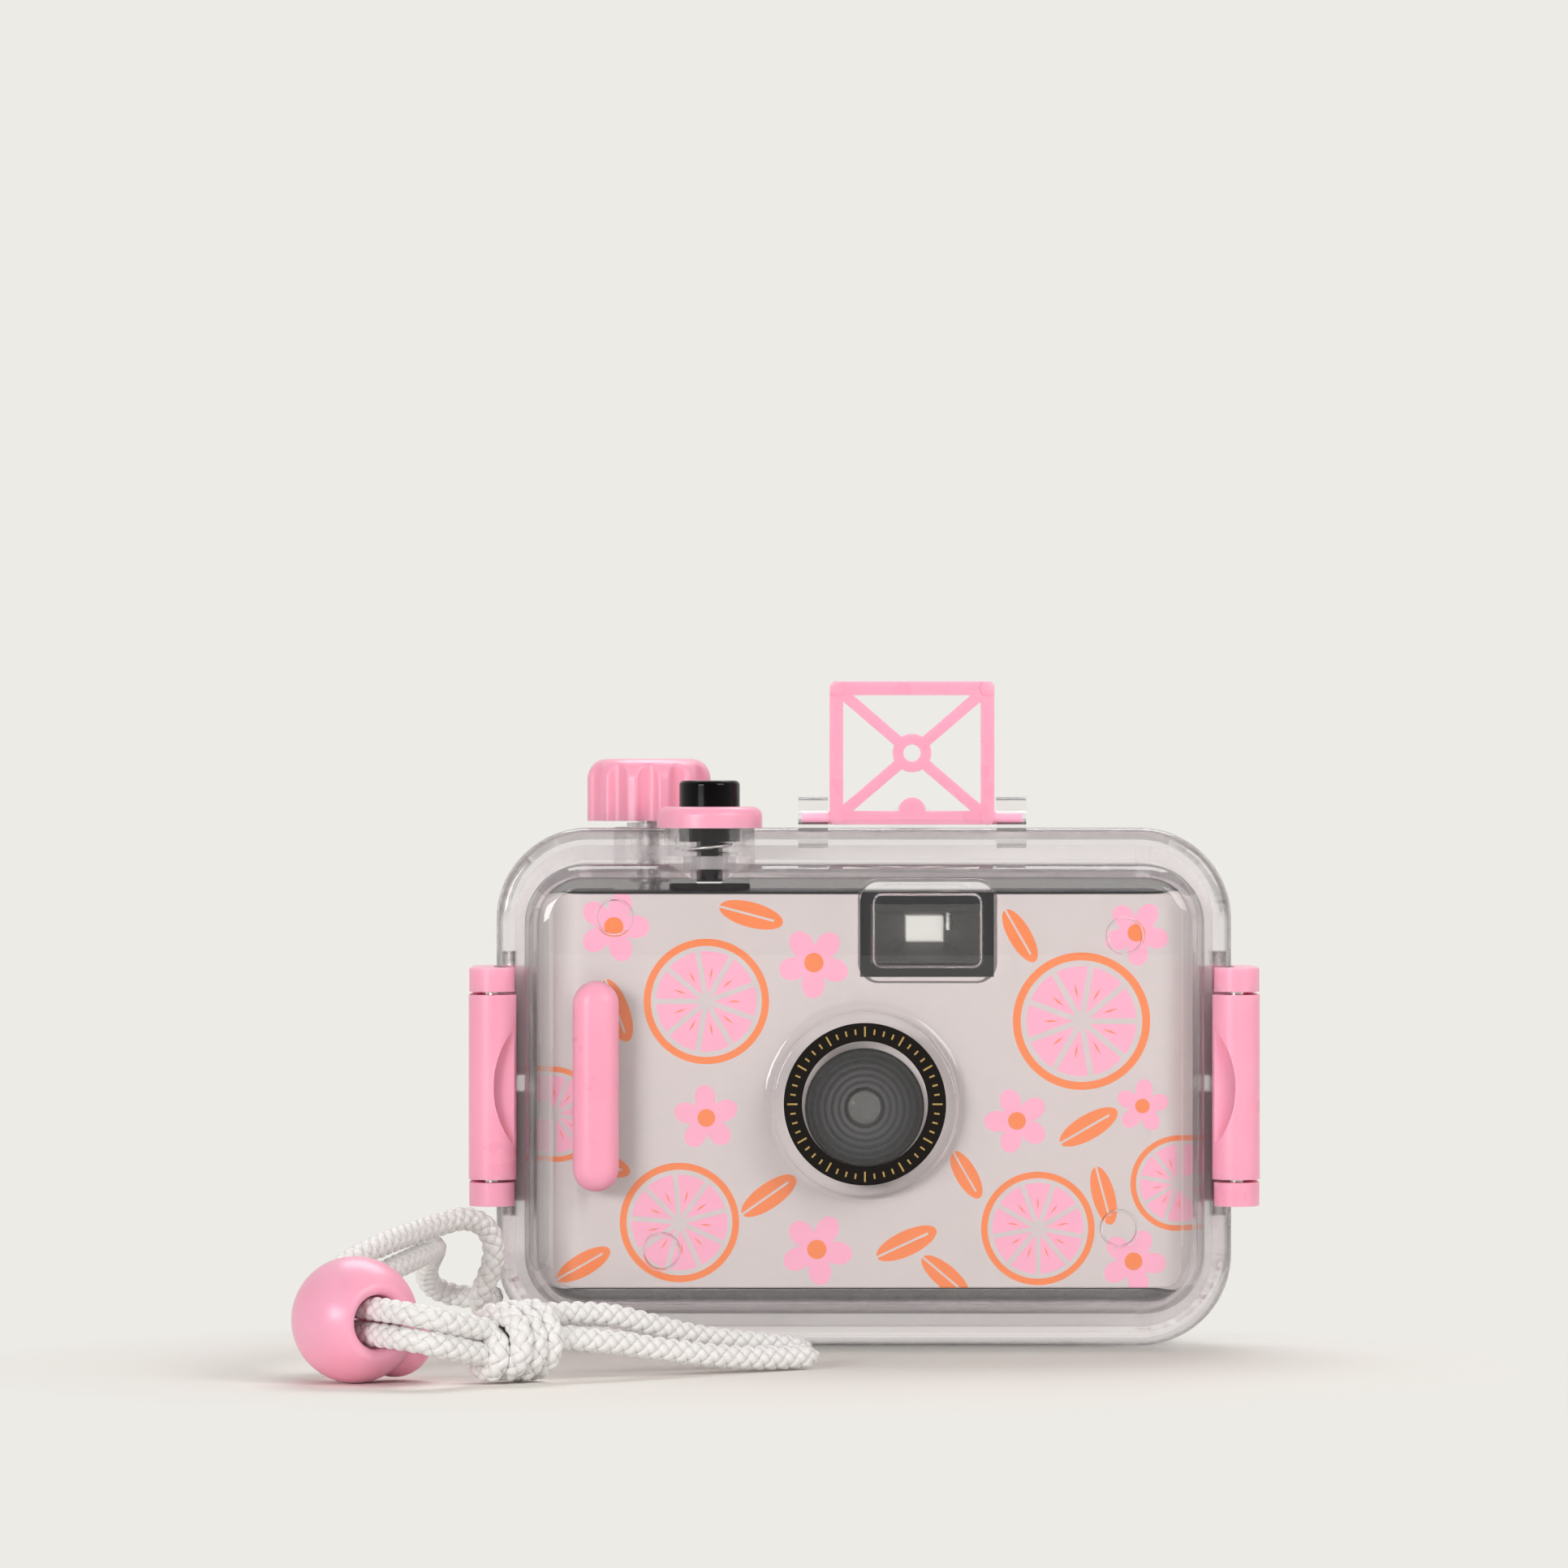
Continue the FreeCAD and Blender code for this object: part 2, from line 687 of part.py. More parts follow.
def pockets_of_front(part):
    """Hollow the box, the port and the finder window, and bore the tower and the lugs."""
    pocket(part, sketch(part, "front", 0,
                        rounded(as_size(0), flange_middle, cavity_width, cavity_height,
                                cavity_corner)), front_depth - wall, reverse=True)
    inner_face = front_depth - wall
    glass = port_face - port_ring_depth - window_glass
    pocket(part, sketch(part, "front", inner_face, circle(0, lens_height, port_bore)),
           glass - inner_face, reverse=True)
    pocket(part, sketch(part, "front", inner_face,
                        rounded(finder_across, finder_height, window_width - wall * 2,
                                window_height - wall * 2, as_size(1.5))),
           port_face - window_glass - inner_face, reverse=True)
    fillet(part, pane_edge, round_edge(glass, port_bore))
    fillet(part, pane_edge, window_edge(port_face - window_glass))
    pocket(part, sketch(part, "front", port_face, circle(0, lens_height, port_ring_radius)),
           port_ring_depth)
    tower = (-shutter_across, -shutter_forward)
    floor = cavity_top + tower_floor
    pocket(part, sketch(part, "top", tower_top, circle(*tower, tower_bore)), tower_top - floor)
    pocket(part, sketch(part, "top", floor, circle(*tower, seal_radius)), seal_height)
    pocket(part, sketch(part, "top", floor, circle(*tower, stem_radius + shaft_play)),
           tower_floor + 1.0)
    far = sight_across + sight_width / 2 + lug_gap + lug_width
    pocket(part, sketch(part, "side", far, circle(axle_y, axle_height, axle_radius + shaft_play)),
           sight_width + lug_gap * 2 + lug_width * 2)
    pocket(part, sketch(part, "front", strap_lug_back + strap_lug_depth,
                        circle(-strap_hole_across, strap_hole_up, strap_hole)),
           strap_lug_depth)
    marks = [circle((box_width / 2 - inward) * side,
                    flange_middle + (box_height / 2 - down) * up, 3.0)
             for side, up, inward, down in ((-1, 1, 15.7, 9.55), (1, 1, 14.6, 12.65),
                                            (-1, -1, 23.5, 9.95), (1, -1, 14.6, 14.05))]
    pocket(part, sketch(part, "front", front_depth, *marks), as_size(0.15))


def front_trim():
    """Ring in the port, grip bar, and the shutter button's collar and seal."""
    washer("port_ring", "y", 0, -port_face, lens_height, port_ring_radius, port_ring_hole,
           port_ring_depth)
    grip = body("GripBar")
    seat = front_depth + grip_rim_rise
    pad(grip, sketch(grip, "front", seat,
                     upright_slot(-grip_across, grip_height, grip_width, grip_length)),
        grip_depth)
    fillet(grip, grip_width * 0.4, in_plane("Y", -(seat + grip_depth)))
    keep(grip, "grip_bar")
    collar = body("ShutterCollar")
    tower = (-shutter_across, -shutter_forward)
    pad(collar, sketch(collar, "top", flange_height, circle(*tower, collar_radius),
                       circle(*tower, button_radius + button_play)), collar_height)
    crown = in_plane("Z", flange_height + collar_height)
    fillet(collar, as_size(1.6),
           lambda box: crown(box) and box.XLength > collar_radius.value * 1.9)
    pocket(collar, sketch(collar, "top", tower_top, circle(*tower, tower_radius)),
           tower_rise)
    keep(collar, "shutter_collar")
    washer("shutter_seal", "z", *tower, cavity_top + tower_floor - seal_height, seal_radius,
           stem_radius + shaft_play, seal_height)


# Coil springs: one unbroken tube each, swept along half turns.

def coil(radius, wire, turns, height):
    """Tube of round wire wound upward from Z = 0, with its first turn on the +X side."""
    rise = (height - wire) / turns
    spots = []
    for step in range(int(turns * 4) + 1):
        turn = math.pi / 2 * step
        spots.append(Vector(radius * math.cos(turn), radius * math.sin(turn),
                            wire / 2 + rise * step / 4))
    edges = [Part.Arc(spots[i], spots[i + 1], spots[i + 2]).toShape()
             for i in range(0, len(spots) - 2, 2)]
    route = Part.Wire(edges)
    start = route.Edges[0].tangentAt(route.Edges[0].FirstParameter)
    section = Part.Wire(Part.makeCircle(wire / 2, spots[0], start))
    tube = route.makePipeShell([section], True, False)
    print(f"spring: least gap between turns {rise - wire:.2f}")
    return tube


def shutter_push():
    """Hollow push button with a stem down to the camera's own button, and its spring."""
    tower = (-shutter_across, -shutter_forward)
    part = body("ShutterPlunger")
    pad(part, sketch(part, "top", button_top - button_length, circle(*tower, button_radius)),
        button_length)
    fillet(part, as_size(0.8), in_plane("Z", button_top))
    skin = as_size(0.7)
    crown = as_size(2.5)
    cup = button_top - button_length
    pocket(part, sketch(part, "top", cup, circle(*tower, button_radius - skin)),
           button_length - crown, reverse=True)
    pad(part, sketch(part, "top", stem_end, circle(*tower, stem_radius)),
        button_top - crown - stem_end)
    keep(part, "shutter_plunger")
    floor = (cavity_top + tower_floor).value
    height = (button_top - crown).value - floor
    spring = coil(spring_radius.value, spring_wire.value, spring_turns.value, height)
    feature("shutter_spring", spring,
            Placement(Vector(tower[0].value, tower[1].value, floor), Rotation()))


# Sports finder: a moulded frame with crossed braces and its axle.

def sports_finder():
    part = body("FinderFrame")
    middle = (sight_bottom + sight_top) / 2
    height = sight_top - sight_bottom
    face = sight_forward - sight_depth / 2
    inside = sight_corner - 1.2
    pad(part, sketch(part, "front", face,
                     rounded(sight_across, middle, sight_width, height, sight_corner),
                     rounded(sight_across, middle, sight_width - sight_bar * 2,
                             height - sight_bar * 2, inside)), sight_depth)
    wide = sight_width - sight_bar
    high = height - sight_bar
    diagonal = root(wide * wide + high * high)
    shift_x = high / diagonal * sight_brace / 2
    shift_z = wide / diagonal * sight_brace / 2
    left = sight_across - wide / 2
    right = sight_across + wide / 2
    low = middle - high / 2
    top = middle + high / 2
    for start, end in ((left, right), (right, left)):
        lean = shift_x if start is left else -shift_x
        pad(part, sketch(part, "front", face,
                         polygon((start + lean, low - shift_z), (end + lean, top - shift_z),
                                 (end - lean, top + shift_z), (start - lean, low + shift_z))),
            sight_depth)
    pad(part, sketch(part, "front", face, circle(sight_across, middle, hub_radius)), sight_depth)
    pocket(part, sketch(part, "front", face + sight_depth, circle(sight_across, middle, hub_hole)),
           sight_depth)
    pad(part, sketch(part, "front", face,
                     circle(sight_across, sight_bottom + sight_tab_radius, sight_tab_radius)),
        sight_depth)
    dots = [circle(x, z, 1.2) for x in (left, right) for z in (low, top)]
    pad(part, sketch(part, "front", face + sight_depth, *dots), as_size(0.2))
    reach = sight_width + axle_reach * 2 + lug_gap * 2
    pad(part, sketch(part, "side", sight_across - reach / 2,
                     circle(axle_y, axle_height, axle_radius)), reach)
    keep(part, "finder_frame")


# Rear shell: clear moulding with gasket groove, eyepiece window, winding tower, latch lugs and
# the rests that carry the camera.

def rear_shell():
    part = body("RearShell")
    pad(part, sketch(part, "front", 0,
                     rounded(as_size(0), flange_middle, flange_width, flange_height,
                             flange_corner)), flange_depth, reverse=True)
    fillet(part, flange_round, in_plane("Y", flange_depth))
    pad(part, sketch(part, "front", 0,
                     rounded(as_size(0), flange_middle, box_width, box_height, box_corner)),
        rear_depth, reverse=True)
    fillet(part, box_round, in_plane("Y", rear_depth))
    pad(part, sketch(part, "front", wall - rear_depth,
                     rounded(finder_across, finder_height, eyepiece_width, eyepiece_height,
                             window_corner)), eyepiece_rise + wall, reverse=True)
    knob = (-knob_across, knob_back)
    pad(part, sketch(part, "top", cavity_top - 1.0, circle(*knob, winder_tower_radius)),
        winder_tower_top - cavity_top + 1.0)
    for side in (-1, 1):
        for low in hinge_lugs():
            pad(part, sketch(part, "top", low,
                             rectangle(*sorted_sizes(hinge_x * side,
                                                     (box_width / 2 - 1.0) * side),
                                       flange_depth - 1.0, hinge_y + hinge_radius)),
                hinge_lug_height)
            pad(part, sketch(part, "top", low, circle(hinge_x * side, hinge_y, hinge_radius)),
                hinge_lug_height)
            pocket(part, sketch(part, "top", low,
                                circle(hinge_x * side, hinge_y, hinge_pin_radius)),
                   hinge_lug_height, reverse=True)
    pocket(part, sketch(part, "front", 0,
                        rounded(as_size(0), flange_middle, cavity_width, cavity_height,
                                cavity_corner)), rear_depth - wall)
    pocket(part, sketch(part, "front", wall - rear_depth,
                        rounded(finder_across, finder_height, eyepiece_width - wall * 2,
                                eyepiece_height - wall * 2, as_size(1.5))),
           eyepiece_rise + wall - window_glass)
    pocket(part, sketch(part, "top", winder_tower_top,
                        circle(*knob, winding_shaft_radius + shaft_play)),
           winder_tower_top - cavity_top + 1.0)
    pocket(part, sketch(part, "top", winder_tower_top, circle(*knob, winding_seal_radius)),
           as_size(SEAL_SEAT))
    outer = flange_width - groove_inset * 2
    outer_high = flange_height - groove_inset * 2
    corner = flange_corner - groove_inset
    pocket(part, sketch(part, "front", 0,
                        rounded(as_size(0), flange_middle, outer, outer_high, corner),
                        rounded(as_size(0), flange_middle, outer - groove_width * 2,
                                outer_high - groove_width * 2, corner - groove_width)),
           groove_depth)
    rests(part)
    keep(part, "rear_shell")


SEAL_SEAT = 1.2


def hinge_lugs():
    """Lower faces of the three lugs that hold one latch: below, in the middle and above."""
    half = link_height / 2 + hinge_play
    return (latch_height - half - hinge_lug_height, latch_height - hinge_lug_height / 2,
            latch_height + half)


def sorted_sizes(one, other):
    return (one, other) if one.value < other.value else (other, one)


def rests(part):
    """Rails under and over the camera and pads behind it."""
    floor = flange_middle - cavity_height / 2
    for across in (-35.0, 35.0):
        pad(part, sketch(part, "front", -(rear_depth - wall + 0.5),
                         rectangle(as_size(across - 1.2), as_size(across + 1.2), floor - 0.5,
                                   camera_bottom)), as_size(15.0))
    for across in (-8.0, 20.0):
        pad(part, sketch(part, "front", -(rear_depth - wall + 0.5),
                         rectangle(as_size(across - 1.2), as_size(across + 1.2), camera_top,
                                   cavity_top + 0.5)), as_size(9.0))
    for across in (-25.0, 26.0):
        for up in (-20.0, 16.0):
            pad(part, sketch(part, "front", -(rear_depth - wall + 0.5),
                             circle(as_size(across), camera_middle + up, as_size(2.0))),
                rear_depth - wall + 0.5 - camera_back)


def rear_seal():
    """Flat silicone ring at the bottom of the groove."""
    part = body("HousingGasket")
    outer = flange_width - groove_inset * 2
    outer_high = flange_height - groove_inset * 2
    corner = flange_corner - groove_inset
    near_face = tongue_height + 0.05
    pad(part, sketch(part, "front", -near_face,
                     rounded(as_size(0), flange_middle, outer, outer_high, corner),
                     rounded(as_size(0), flange_middle, outer - groove_width * 2,
                             outer_high - groove_width * 2, corner - groove_width)),
        groove_depth - near_face, reverse=True)
    keep(part, "housing_gasket")


# Latches: a U-shaped link on a pin behind the flange, and a lever on a pin before it whose cam
# presses on the rounded edge of the front flange.

def latch(side, name):
    low = latch_height - link_height / 2
    high = latch_height + link_height / 2
    part = body("Link" + name)
    web = polygon((side * (hinge_x + 3.2), hinge_y - 0.1), (side * arm_outer, hinge_y - 3.2),
                  (side * arm_outer, flange_depth - 2.2), (side * (arm_inner + 0.3),
                                                           flange_depth - 2.2),
                  (side * (arm_inner + 0.3), hinge_y - 1.4))
    pad(part, sketch(part, "top", low, web), high - low)
    ear = polygon((side * hinge_x, hinge_y + hinge_radius),
                  (side * (hinge_x + 1.5), hinge_y + 2.1), (side * arm_outer, hinge_y - 3.2),
                  (side * arm_outer, flange_depth - 2.2), (side * (arm_inner + 0.3),
                                                           flange_depth - 2.2),
                  (side * (arm_inner + 0.3), hinge_y - 2.5), (side * hinge_x,
                                                              hinge_y - hinge_radius))
    length = (link_height - hinge_lug_height) / 2 - hinge_play
    for start in (low, high - length):
        pad(part, sketch(part, "top", start, ear), length)
        pad(part, sketch(part, "top", start, circle(side * hinge_x, hinge_y, hinge_radius)),
            length)
    arm = rectangle(*sorted_sizes(side * arm_inner, side * arm_outer), pivot_y,
                    as_size(hinge_y - 3.2))
    for start in (low, high - knuckle_height):
        pad(part, sketch(part, "top", start, arm), knuckle_height)
        pad(part, sketch(part, "top", start, circle(side * pivot_x, pivot_y, knuckle_radius)),
            knuckle_height)
    pocket(part, sketch(part, "top", high, circle(side * hinge_x, hinge_y,
                                                  hinge_pin_radius + pin_play)), high - low)
    pocket(part, sketch(part, "top", high, circle(side * pivot_x, pivot_y, lever_pin_radius)),
           high - low)
    keep(part, name + "_link")
    pin_end = as_size(0.6)
    pin = rod("LeverPin" + name, "z", side * pivot_x, pivot_y, low + pin_end, lever_pin_radius,
              high - low - pin_end * 2)
    keep(pin, name + "_lever_pin")
    lever(side, name)
    bottom, _, top = hinge_lugs()
    return rod("HingePin" + name, "z", side * hinge_x, hinge_y, bottom, hinge_pin_radius,
               top + hinge_lug_height - bottom)


def lever(side, name):
    """Barrel with its cam, the handle beside the flange, and the finger notch."""
    part = body("Lever" + name)
    start = latch_height - lever_height / 2
    pad(part, sketch(part, "top", start, circle(side * pivot_x, pivot_y, barrel_radius)),
        lever_height)
    turn = math.radians(cam_angle.value)
    lobe = cam_reach - cam_radius
    pad(part, sketch(part, "top", start,
                     circle(side * (pivot_x - lobe * math.cos(turn)),
                            pivot_y + lobe * math.sin(turn), cam_radius)), lever_height)
    outer = pivot_x + barrel_radius
    pad(part, sketch(part, "top", start,
                     rectangle(*sorted_sizes(side * (outer - handle_depth), side * outer),
                               pivot_y, pivot_y + handle_length)), lever_height)
    half = notch_height / 2
    notch_radius = (half * half + notch_width * notch_width) / (notch_width * 2)
    notch_x = pivot_x - barrel_radius + notch_width - notch_radius
    pocket(part, sketch(part, "front", -(pivot_y - barrel_radius),
                        circle(side * notch_x, latch_height, notch_radius)), notch_depth)
    pocket(part, sketch(part, "top", start,
                        circle(side * pivot_x, pivot_y, lever_pin_radius + pin_play)),
           lever_height, reverse=True)
    keep(part, name + "_lever")


def latches():
    pins = [latch(side, name) for side, name in ((-1, "left"), (1, "right"))]
    keep(join("LatchHingePins", *pins), "latch_hinge_pins")


# Winding train: knob and shaft through the rear shell, and a toothed wheel that drives the
# camera's own advance wheel.

def gear(teeth, module, height, bore):
    """Spur gear about the Z axis with a tooth on the +X side: straight-flanked teeth."""
    pitch = module * teeth / 2
    top = pitch + module
    foot = pitch - 1.2 * module
    step = 2 * math.pi / teeth
    half_pitch = step / 4 - mesh_backlash.value / 2 / pitch
    lean = module * math.tan(math.radians(20))
    half_top = half_pitch - lean / pitch
    half_foot = half_pitch + 1.2 * lean / pitch

    def spot(radius, turn):
        return Vector(radius * math.cos(turn), radius * math.sin(turn), 0)

    edges = []
    for index in range(int(teeth)):
        mid = step * index
        rise = [spot(foot, mid - half_foot), spot(top, mid - half_top),
                spot(top, mid + half_top), spot(foot, mid + half_foot)]
        edges.append(Part.LineSegment(rise[0], rise[1]).toShape())
        edges.append(Part.Arc(rise[1], spot(top, mid), rise[2]).toShape())
        edges.append(Part.LineSegment(rise[2], rise[3]).toShape())
        edges.append(Part.Arc(rise[3], spot(foot, mid + step / 2),
                              spot(foot, mid + step - half_foot)).toShape())
    blank = Part.Face(Part.Wire(edges)).extrude(Vector(0, 0, height))
    return blank.cut(Part.makeCylinder(bore, height))


def winding():
    """Knob, shaft, seal, clip and drive gear."""
    part = body("WindingKnob")
    pad(part, sketch(part, "top", 0, circle(0, 0, knob_radius)), knob_top - knob_bottom)
    fillet(part, as_size(3.6), in_plane("Z", knob_top - knob_bottom))
    flute = pocket(part, sketch(part, "top", 0,
                                circle(knob_radius + flute_radius * 0.45, 0, flute_radius)),
                   knob_top - knob_bottom, reverse=True)
    polar(part, flute, knob_flutes, "Z_Axis")
    fillet(part, flute_edge,
           lambda box: box.ZLength > 4.0 and box.XLength + box.YLength < 0.01)
    pocket(part, sketch(part, "top", 0, circle(0, 0, winding_shaft_radius)), as_size(8.0),
           reverse=True)
    move_to(part, -knob_across, knob_back, knob_bottom)
    doc.recompute()
    keep(part, "winding_knob")
    shaft_low = gear_bottom - 0.4
    keep(rod("WindingShaft", "z", -knob_across, knob_back, shaft_low, winding_shaft_radius,
             knob_bottom + 8.0 - shaft_low), "winding_shaft")
    washer("winding_seal", "z", -knob_across, knob_back, winder_tower_top - SEAL_SEAT,
           winding_seal_radius, winding_shaft_radius + shaft_play, as_size(SEAL_SEAT + 0.7))
    washer("winding_clip", "z", -knob_across, knob_back, cavity_top - 0.9, as_size(3.6),
           winding_shaft_radius, as_size(0.7))
    turn = math.radians(mesh_angle.value)
    shape = gear(drive_teeth.value, gear_module.value, gear_height.value,
                 winding_shaft_radius.value)
    spot = Vector(-knob_across.value, knob_back.value, gear_bottom.value)
    feature("drive_gear", shape, Placement(spot, Rotation(Vector(0, 0, 1), math.degrees(turn))))


# Camera inside: front cover with its card, chassis, top cover, back door and film path.

def camera_covers():
    width = camera_width
    low = camera_bottom
    cover = body("CameraFrontCover")
    middle_x = camera_across
    pad(cover, sketch(cover, "top", low,
                      rectangle(middle_x - width / 2, middle_x + width / 2, camera_front,
                                cover_back)), camera_height)
    fillet(cover, cover_corner, front_uprights)
    inner = width - cover_wall * 2
    pocket(cover, sketch(cover, "front", -cover_back,
                         rectangle(middle_x - inner / 2, middle_x + inner / 2, low + cover_wall,
                                   camera_top - cover_wall)),
           cover_back - camera_front - cover_wall, reverse=True)
    pocket(cover, sketch(cover, "front", -camera_front,
                         circle(0, lens_height - barrel_drop, barrel_lens_radius + slip),
                         rectangle(finder_across - 9.5, finder_across + 9.5,
                                   finder_height - 5.6, finder_height + 4.4)), cover_wall)
    trim_corners(cover, camera_width, camera_height)
    pocket(cover, sketch(cover, "top", camera_top, button_outline(as_size(0.2))),
           cover_wall)
    keep(cover, "camera_front_cover")
    card_low = low + card_margin
    card_high = camera_top - card_margin
    outer = width + card_thickness * 2
    card = body("PrintCard")
    face = camera_front - card_thickness
    pad(card, sketch(card, "top", card_low,
                     rectangle(middle_x - outer / 2, middle_x + outer / 2, face,
                               cover_back - 2.0)), card_high - card_low)
    fillet(card, cover_corner + card_thickness, front_uprights)
    trim_corners(card, outer, camera_height - card_margin * 2)
    inside = body("CardInside")
    pad(inside, sketch(inside, "top", card_low,
                       rectangle(middle_x - width / 2, middle_x + width / 2, camera_front,
                                 cover_back)), card_high - card_low)
    fillet(inside, cover_corner, front_uprights)
    holes = [rod("CardLensHole", "y", 0, face, lens_height - barrel_drop,
                 barrel_lens_radius + 0.5, card_thickness * 2),
             block("CardFinderHole", finder_across - card_finder_width / 2,
                   finder_across + card_finder_width / 2, face,
                   camera_front + card_thickness, finder_height - card_finder_drop,
                   card_high + 1.0)]
    keep(cut("CardCut", card, inside, *holes), "print_card")


def trim_corners(part, width, height):
    """Round the corners that show in the front view."""
    pocket(part, sketch(part, "front", -camera_front + 1.0,
                        rounded(camera_across, camera_middle, camera_width + 6.0,
                                camera_height + 6.0, as_size(1.0)),
                        rounded(camera_across, camera_middle, width, height, case_corner)),
           camera_back - camera_front + 2.0)


def front_uprights(box):
    """Upright edges on the front side of a block."""
    return box.ZLength > 30 and box.YLength < 1e-3 and box.YMin < -15.0


def button_outline(margin):
    """Outline of the camera's own shutter button, seen from above."""
    return rounded(-shutter_across, -shutter_forward, camera_button_width + margin * 2,
                   camera_button_depth + margin * 2, camera_button_depth / 2 + margin - 0.1)


CHASSIS_STEP = 2.0


def camera_chassis():
    part = body("CameraChassis")
    middle_x = camera_across
    width = camera_width
    low = camera_bottom
    deck = camera_top - top_thickness
    neck = width - CHASSIS_STEP * 2
    pad(part, sketch(part, "front", -cover_back,
                     rectangle(middle_x - width / 2, middle_x + width / 2, low, deck)),
        door_front - cover_back, reverse=True)
    front_face = camera_front + cover_wall + 1.2
    pad(part, sketch(part, "front", -cover_back,
                     rectangle(middle_x - neck / 2, middle_x + neck / 2, low + CHASSIS_STEP,
                               camera_top - CHASSIS_STEP)), cover_back - front_face)
    trim_corners(part, width, camera_height)
    chambers(part, low, deck, front_face)
    keep(part, "camera_chassis")


def chambers(part, low, deck, front_face):
    """Film chambers, film gate, finder tunnel, shutter space and the top recesses."""
    floor = low + 3.0
    roof = deck - 4.5
    tall = roof - floor
    take_up = spool_radius + spool_play
    back = as_size(door_front)
    cassette_x = camera_across + cassette_across
    for x, y, radius in ((spool_x, spool_y, take_up), (cassette_x, cassette_back,
                                                       cassette_radius)):
        pocket(part, sketch(part, "top", roof, circle(x, y, radius)), tall)
        pocket(part, sketch(part, "top", roof,
                            rectangle(x - radius, x + radius, as_size(y), back + 1.0)), tall)
    pocket(part, sketch(part, "top", roof,
                        circle(-sprocket_across, sprocket_back, sprocket_radius + 1.4)), tall)
    pocket(part, sketch(part, "top", roof,
                        rectangle(-sprocket_across - sprocket_radius - 1.4,
                                  -sprocket_across + sprocket_radius + 1.4,
                                  as_size(sprocket_back), back + 1.0)), tall)
    lens_z = lens_height - barrel_drop
    pocket(part, sketch(part, "front", -back,
                        rounded(as_size(0), lens_z, gate_width, gate_height, as_size(0.8))),
           back - front_face - 3.0, reverse=True)
    pocket(part, sketch(part, "front", -front_face, circle(0, lens_z, 5.0)), as_size(4.0))
    pocket(part, sketch(part, "front", -front_face, circle(0, lens_z, SHUTTER_SPACE)),
           as_size(2.4))
    pocket(part, sketch(part, "front", -front_face, circle(0, lens_z, PLATE_RADIUS)),
           as_size(0.6))
    wheel = gear_module * (wheel_teeth + 2) / 2 + 0.6
    top = gear_bottom - 0.4
    pocket(part, sketch(part, "top", deck, circle(spool_x, spool_y, wheel)), deck - top)
    pocket(part, sketch(part, "top", deck, circle(spool_x, spool_y, SPINDLE + 0.05)),
           deck - low - 1.0)
    reach = gear_module * (drive_teeth + 2) / 2 + 0.8
    notch = rectangle(-knob_across - reach, -knob_across + reach, knob_back - reach, back + 1.0)
    pocket(part, sketch(part, "top", deck, notch), deck - top)
    pocket(part, sketch(part, "top", deck,
                        circle(-counter_across, counter_back, counter_radius + 0.5)),
           as_size(2.2))
    pocket(part, sketch(part, "top", deck,
                        circle(cassette_x, cassette_back, rewind_radius + 0.5)), as_size(2.5))
    pocket(part, sketch(part, "top", deck, circle(cassette_x, cassette_back, SPINDLE + 0.55)),
           as_size(5.0))
    pocket(part, sketch(part, "top", camera_top, button_outline(as_size(0.3))),
           shutter_travel + camera_button_height + 1.0)
    pocket(part, sketch(part, "top", camera_top - 3.0,
                        circle(-shutter_across, -shutter_forward + 2.0, BUTTON_STEM + 0.05)),
           as_size(8.0))
    tunnel = part.newObject("PartDesign::SubtractiveLoft", "FinderTunnel")
    tunnel.Profile = sketch(part, "front", -front_face,
                            rectangle(finder_across - 9.0, finder_across + 9.0,
                                      finder_height - 5.2, finder_height + 3.2))
    tunnel.Sections = [sketch(part, "front", -back - 1.0,
                              rectangle(finder_across - 3.5, finder_across + 3.5,
                                        finder_height - 2.5, finder_height + 2.5))]
    tunnel.Ruled = True
    settle(part, tunnel)
    screws = [circle(camera_across + x, y, SCREW_RADIUS) for x, y in SCREWS]
    pocket(part, sketch(part, "top", deck, *screws), as_size(5.0))


SHUTTER_SPACE = 12.5
PLATE_RADIUS = 14.0
SPINDLE = 1.5
BUTTON_STEM = 1.0
SCREW_RADIUS = 0.8
SCREWS = ((screw_inset - camera_width / 2, -3.5), (-6.0, 9.0), (14.0, -3.5),
          (camera_width / 2 - screw_inset, -3.5))


